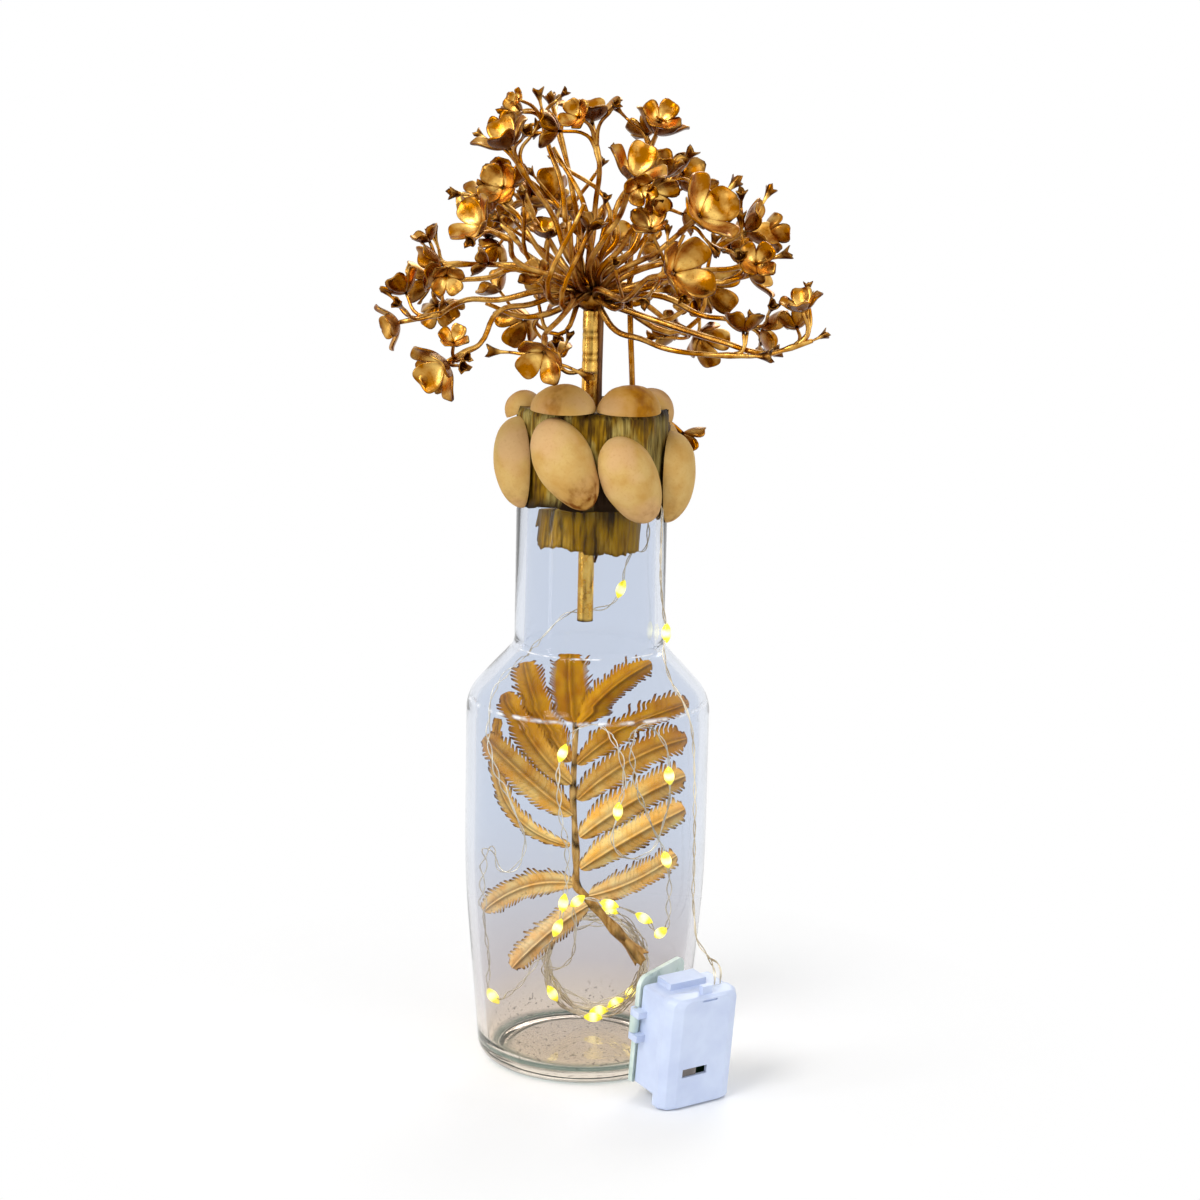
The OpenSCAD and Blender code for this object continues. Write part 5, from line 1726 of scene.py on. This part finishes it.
# %% Thick stem, cut into many rings
stem_low, stem_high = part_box("main_stem")
stem_r = (stem_high.x - stem_low.x) / 2
stem_rows = 150
deselect()
bpy.ops.mesh.primitive_cylinder_add(vertices=28, radius=stem_r, depth=stem_high.z - stem_low.z,
                                    location=(stem_low + stem_high) / 2)
stem = bpy.context.object
cut_across(stem, stem_rows)
bpy.ops.mesh.select_mode(type="VERT")
bpy.ops.object.mode_set(mode="OBJECT")
set_down(stem)
print("stem of", stem_rows, "rings")

# %% Grooves above the joint band, a rough bark and a cut foot
band_z = 220 * MM
band_half = 0.9 * MM
band_out = 0.05
groove_gap = 1.7 * MM
groove_half_share = 0.4
groove_in = 0.07
bark_out = 0.05
bark_size = 1.1 * MM
stem_share = 0.95
cut_depth = 0.7 * MM
stem_middle = ((stem_low + stem_high) / 2).xy
stem_hollow = stem.data.attributes.new("hollow", "FLOAT", "POINT")
stem_painted_highlight = stem.data.attributes.new("painted_highlight", "FLOAT", "POINT")
for vert in stem.data.vertices:
    away = vert.co.xy - stem_middle
    z = vert.co.z
    ring = abs((z - band_z) / groove_gap % 1 - 0.5) * 2
    above = z > band_z
    band = max(0, 1 - abs(z - band_z) / band_half)
    rough = noise.noise(Vector((away.x, away.y, z * 0.12)) / bark_size)
    groove = max(0, groove_half_share - ring) / groove_half_share if above else 0
    vert.co.xy = stem_middle + away * (
        stem_share + band_out * band - groove_in * groove + bark_out * rough)
    cut_end = max(0, 1 - (z - stem_low.z) / cut_depth)
    # The dark joint band, cut foot and bark are the stem's own; the grooves are painted shade.
    stem_hollow.data[vert.index].value = band + 0.6 * groove + 0.9 * cut_end + max(0, rough) * 0.9
    below_skirt = z < skirt_low.z + 4 * MM
    # A painted highlight on the rings between the grooves, and more below the skirt.
    stem_painted_highlight.data[vert.index].value = 0.7 * (1 - groove) * above + 0.2 + 0.3 * below_skirt
bpy.ops.object.shade_smooth_by_angle(angle=math.radians(50))
finished(stem, "thick_stem", "stopper", "gilded_umbel", stem_gold, "main_stem")
print("stem", len(stem.data.polygons), "faces")

# %% Stick beside it
stick_low, stick_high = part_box("second_stem")
stick_x = (stick_low.x + stick_high.x) / 2
near_stem = stick_x - 1.6 * MM
in_drum_z = 205 * MM
below_drum_z = 178 * MM
in_neck_z = 166 * MM
stick_line = [
    Vector((near_stem, 0.3 * MM, stick_high.z)), Vector((near_stem, 0.3 * MM, in_drum_z)),
    Vector((stick_x, 0, below_drum_z)), Vector((stick_x - 0.8 * MM, 0, in_neck_z)),
    Vector((near_stem - 0.4 * MM, 0, stick_low.z))]
stick_radii = [0.9 * MM, 0.95 * MM, 1.25 * MM, 1.05 * MM, 0.3 * MM]
stick = stalks("wedge_stick", [(stick_line, stick_radii)])
finished(stick, "wedge_stick", "stopper", "dark_stem", dark_wood, "second_stem")
print("stick", len(stick.data.polygons), "faces")

# %% [markdown]
# ## The fern
#
# The fern is one stalk with thirteen leaflets, each a strap with a raised midrib and a fine saw
# edge along both sides. One strap is modelled flat, as a grid whose outer cells are cut away
# between the teeth and whose teeth are drawn to a point. Each copy is then laid along its own
# midline: the strap's length follows a curve from root to tip by way of a bend, and its two
# halves fold back from the midrib, so that one side catches the light and the other does not.
# That half is painted darker as well, and so are the valleys between the teeth: painted shade.

# %% The strap as a grid, cut away between the teeth
teeth = 23
across = (0, 0.1, 0.38, 0.66, 1)
deselect()
bpy.ops.mesh.primitive_grid_add(x_subdivisions=2 * (len(across) - 1), y_subdivisions=3 * teeth, size=2)
strap = bpy.context.object
bpy.ops.object.mode_set(mode="EDIT")
bpy.ops.mesh.select_mode(type="FACE")
bpy.ops.mesh.select_all(action="DESELECT")
strap_mesh = bmesh.from_edit_mesh(strap.data)
for face in strap_mesh.faces:
    centre = face.calc_center_median()
    row = int((centre.y + 1) / 2 * 3 * teeth)
    face.select_set(row % 3 == 2 and abs(centre.x) > 0.75 and row < 3 * teeth - 1)
bmesh.update_edit_mesh(strap.data)
bpy.ops.mesh.delete(type="FACE")
bpy.ops.mesh.select_mode(type="VERT")
bpy.ops.object.mode_set(mode="OBJECT")
print("strap", len(strap.data.polygons), "faces")

# %% Teeth drawn to points: x from -1 to 1 across and y from 0 to 1 along
tooth_cells = (0, 0.45, 0.84)
point_cells = (0.5, 0.7, 0.95)
bare = 0.03
toothed = 0.97
for vert in strap.data.vertices:
    column = round((vert.co.x + 1) / 2 * 2 * (len(across) - 1)) - (len(across) - 1)
    row = round((vert.co.y + 1) / 2 * 3 * teeth)
    x = across[abs(column)]
    cell = tooth_cells[row % 3]
    if x == 1:
        cell = point_cells[row % 3] if row < 3 * teeth else 0.1
    vert.co.x = math.copysign(x, column) if column else 0
    vert.co.y = min(1, bare + toothed * (row // 3 + cell) / teeth)
print(teeth, "teeth on either side")

# %% Midlines: root, bend and tip as shares, then width and layer
fern_clear = 1.8
fern_reach = body_r - glass_t - fern_clear
fern_top = 129
leaflet_shares = [
    (-0.115, 0.84, -0.19, 0.92, -0.18, 1, 1.3, 0), (-0.13, 0.74, -0.52, 0.86, -0.6, 0.985, 1.1, 1),
    (-0.1, 0.83, 0.12, 0.93, 0.57, 0.995, 0.9, -1), (-0.12, 0.735, 0.35, 0.86, 0.93, 0.9, 0.95, 0),
    (-0.11, 0.645, 0.35, 0.77, 0.93, 0.81, 1.1, 0), (-0.08, 0.55, 0.4, 0.66, 0.92, 0.715, 1.15, 0),
    (-0.07, 0.47, 0.4, 0.56, 0.93, 0.63, 1.1, 0), (0.02, 0.405, 0.45, 0.43, 0.86, 0.51, 0.9, 0),
    (-0.1, 0.61, -0.5, 0.68, -0.97, 0.8, 1.15, 0), (-0.09, 0.53, -0.98, 0.57, -0.86, 0.84, 0.55, 1),
    (-0.06, 0.435, -0.55, 0.46, -0.96, 0.36, 0.9, 0),
    (0.06, 0.385, -0.3, 0.33, -0.67, 0.215, 0.95, 0),
    (-0.12, 0.69, -0.5, 0.765, -0.775, 0.91, 1, -1)]


def midline(row, t):
    root = Vector((row[0] * fern_reach, row[1] * fern_top))
    bend = Vector((row[2] * fern_reach, row[3] * fern_top))
    tip = Vector((row[4] * fern_reach, row[5] * fern_top))
    return root.lerp(bend, t).lerp(bend.lerp(tip, t), t)


print("fern reaches", round(fern_reach, 2), "mm out")

# %% Lay a strap along its midline
leaflet_w = 10.3
layer_gap = 0.805
ridge_h = 0.4
mean_fold = 0.36
fold_spread = 0.16
tip_share = 0.1


def laid(row, number):
    """Each point is set along and beside the midline, with some stray teeth, and one side and the valleys
    between the teeth painted in shade.
    """
    ob = copy_of(strap, Matrix.Identity(4))
    layer = layer_gap * row[7]
    hollow = ob.data.attributes.new("hollow", "FLOAT", "POINT")
    random.seed(number)
    sway = [random.uniform(-1, 1) for _ in range(2 * teeth + 4)]
    fold = mean_fold + fold_spread * random.uniform(-1, 1)
    shaded = random.choice((-1, 1))
    for vert in ob.data.vertices:
        x, t = vert.co.x, vert.co.y
        tooth = min(teeth, int((t - bare) / toothed * teeth))
        stray = sway[2 * tooth + (x > 0)] * max(0, abs(x) - 0.66) / 0.34
        place = midline(row, t)
        ahead = (midline(row, t + 0.01) - midline(row, t - 0.01)).normalized()
        side = Vector((-ahead.y, ahead.x))
        half = leaflet_w * row[6] / 2 * (0.3 + 0.7 * math.sin(math.pi / 2 * min(1, t * 3)))
        at_tip = max(0, (t - 0.9) / tip_share)
        half *= 1 - 0.22 * t ** 3 - 0.4 * at_tip ** 2
        reach = abs(x) * half * (1 + 0.14 * stray)
        sweep = half * abs(x) ** 1.5 * 0.5 * (1 - t ** 6)
        cap = 0.3 * half * (1 - x * x) * at_tip
        swept = place + side * math.copysign(reach, x) + ahead * (sweep + cap + 0.5 * stray)
        back = fold * reach + 0.7 * stray + 1.4 * t * t
        ridge = ridge_h if x == 0 else 0
        # Painted shade on one half and in the valleys between the teeth; the midrib lines and dark edges
        # are the leaflet's own.
        dim = 0.18 if x * shaded > 0.05 else 0
        tooth_valley_shade = abs(x) > 0.3 and (t - bare) / toothed * teeth % 1 < 0.1
        rib = 0.5 * (0.05 < abs(x) < 0.2) + 0.2 * tooth_valley_shade
        hollow.data[vert.index].value = dim + rib + 0.75 * (abs(x) > 0.9) + 0.2 * max(0, stray)
        vert.co = Vector((swept.x, layer - ridge + back - 0.4, swept.y)) * MM
    return ob


print("leaflets", leaflet_w, "mm wide")

# %% Thirteen leaflets
leaflet_t = 0.45
leaflets = []
for number, row in enumerate(leaflet_shares, 1):
    ob = laid(row, number)
    body = ob.modifiers.new("thickness", "SOLIDIFY")
    body.thickness = leaflet_t * MM
    body.offset = 0
    apply_modifiers(ob)
    weld(ob)
    bpy.ops.object.shade_smooth_by_angle(angle=math.radians(35))
    finished(ob, f"fern_leaflet_{number}", "bottle", "gilded_fern", fern_gold, f"leaflet_{number}")
    leaflets.append(ob)
bpy.data.objects.remove(strap)
print(len(leaflets), "leaflets,", sum(len(o.data.polygons) for o in leaflets), "faces")

# %% [markdown]
# ## The fern's stalk
#
# The stalk thickens towards its foot, swells a little where the leaflets leave it and is blotched
# brown there. At its foot the bark was torn open, which leaves a ragged cup. The stalk is a curve
# through the middle line of the frame's stalk, and the husk a short profile turned round and
# then torn by noise.

# %% Fern stalk
stalk_line = middle_line([p for part in solids_of("fern_stalk") for p in part], 8, lambda p: -p.z)
top_r = 0.9
foot_gain = 1.0
at_joint = 1.25
between_joints = 0.92
stalk_points = []
stalk_radii = []
for i, (a, b) in enumerate(zip(stalk_line, stalk_line[1:])):
    thick_at = top_r + foot_gain * (i / (len(stalk_line) - 1)) ** 1.6
    for t in (0, 0.5):
        stalk_points.append(a.lerp(b, t))
        stalk_radii.append((thick_at * (at_joint if t == 0 else between_joints)) * MM)
husk_way = (stalk_line[-1] - stalk_line[-2]).normalized()
foot_in_husk = 3.5
foot_end_r = 1.8
stalk_points.append(stalk_line[-1] - husk_way * foot_in_husk * MM)
stalk_radii.append(foot_end_r * MM)
stalk_piece = stalks("fern_rachis", [(stalk_points, stalk_radii)])
print("fern stalk", len(stalk_points), "points")

# %% Blotches at its joints
blotch_size = 2.5
blotch_reach = 2.6
joint_places = [Vector((row[0] * fern_reach, 0, row[1] * fern_top)) * MM for row in leaflet_shares]
stalk_mark = stalk_piece.data.attributes.new("hollow", "FLOAT", "POINT")
for vert in stalk_piece.data.vertices:
    nearest = min((vert.co - place).length for place in joint_places)
    blotch = noise.noise(vert.co / (blotch_size * MM))
    at_a_joint = max(0, 1 - nearest / (blotch_reach * MM))
    stalk_mark.data[vert.index].value = 0.25 + at_a_joint * (0.9 + blotch) + blotch
finished(stalk_piece, "fern_rachis", "bottle", "gilded_fern", rachis_finish, "fern_stalk")

# %% The torn husk at its foot
husk_line = [(1.5, -2), (2, 1), (2.6, 4), (3.1, 6.6), (2.6, 6.4), (2, 4), (0.2, 2.4)]
husk_sides = 16
husk_back = 6
tear_size = 1.5
husk = turned(husk_line, husk_sides)
husk_hollow = husk.data.attributes.new("hollow", "FLOAT", "POINT")
for vert in husk.data.vertices:
    z = vert.co.z / MM
    inside_husk = vert.co.xy.length < 2.2 * MM and z > 2.4
    tear = noise.noise(vert.co.xy.to_3d() / (tear_size * MM) + Vector((3, 1, 0)))
    # Painted shade inside the cup; outside, the torn bark is darker in patches.
    husk_hollow.data[vert.index].value = 0.9 if inside_husk else 0.25 + tear
    vert.co.xy *= 1 + 0.4 * tear
    vert.co.z += max(0, z - 3) * 0.7 * tear * MM
bpy.ops.object.shade_smooth_by_angle(angle=math.radians(40))
husk.data.transform(aimed(stalk_line[-1] - husk_way * husk_back * MM, husk_way, 1))
finished(husk, "fern_husk", "bottle", "gilded_fern", rachis_finish)
print("husk", len(husk.data.polygons), "faces")

# %% [markdown]
# ## The battery box
#
# A small moulded case for two coin cells: a front cover with the switch window, a rear shell, and
# a thin lid that stands ajar. Their shapes are right in the frame, so they stay, and get the
# softened edges of a moulding from live modifiers and a finish that is not quite even. The parts
# inside the case and the board core of the stopper stay too, with a finish of their own.

# %% A moulding's finish


def moulding(name, low, high, rough, bump, metal=0):
    mat, shader = new_finish(name, Roughness=rough, Metallic=metal)
    cloud = grain(mat, 9, detail=3)
    pebble = grain(mat, 0.35, detail=2)
    feed(mat, shader.inputs["Base Color"], between(mat, cloud, low, high, 0.35, 0.65))
    feed(mat, shader.inputs["Roughness"], spread(mat, cloud, rough * 0.8, rough * 1.2))
    bumped(mat, shader, pebble, bump, 0.5)
    return mat


white_case = moulding("white moulding", paint(196, 208, 236), paint(208, 220, 244), 0.36, 0.03)
pale_case = moulding("pale green moulding", paint(196, 214, 205), paint(226, 238, 230), 0.3, 0.02)
knob_case = moulding("grey knob", paint(104, 96, 90), paint(150, 142, 136), 0.45, 0.03)
board_case = moulding("green board", paint(22, 62, 36), paint(40, 92, 52), 0.4, 0.02)
card_case = moulding("brown board", paint(128, 96, 58), paint(158, 124, 80), 0.8, 0.1)
cell_case = moulding("plated steel", paint(176, 176, 178), paint(206, 206, 208), 0.3, 0.01, 1)
brass_case = moulding("plated spring", paint(190, 168, 112), paint(216, 198, 146), 0.3, 0.01, 1)
print("mouldings ready")

# %% Dress the frame's own pieces
soft_edge_angle = math.radians(30)
dressed = {
    "box_cover": (white_case, 0.35), "box_shell": (white_case, 0.3), "box_lid": (pale_case, 0.2),
    "switch_knob": (knob_case, 0.15), "circuit_board": (board_case, 0), "coin_cells": (cell_case, 0),
    "box_contacts": (brass_case, 0), "hinge_pin": (cell_case, 0), "stopper_core": (card_case, 0)}
for node, (finish, edge) in dressed.items():
    ob = nodes[node]
    ob.data.materials.clear()
    ob.data.materials.append(finish)
    if edge:
        merge = ob.modifiers.new("merge", "WELD")
        merge.merge_threshold = weld_gap
        soften = ob.modifiers.new("soften", "BEVEL")
        soften.width = edge * MM
        soften.segments = 2
        soften.limit_method = "ANGLE"
        soften.angle_limit = soft_edge_angle
print(len(dressed), "nodes dressed")

# %% [markdown]
# ## Finish
#
# The flowers and buds were kept inside the frame's own box as they were set. The dressed lamp has to stay
# inside the frame's own box. Last, the scene is brought up to date.

# %% Bring the scene up to date
bpy.context.view_layer.update()
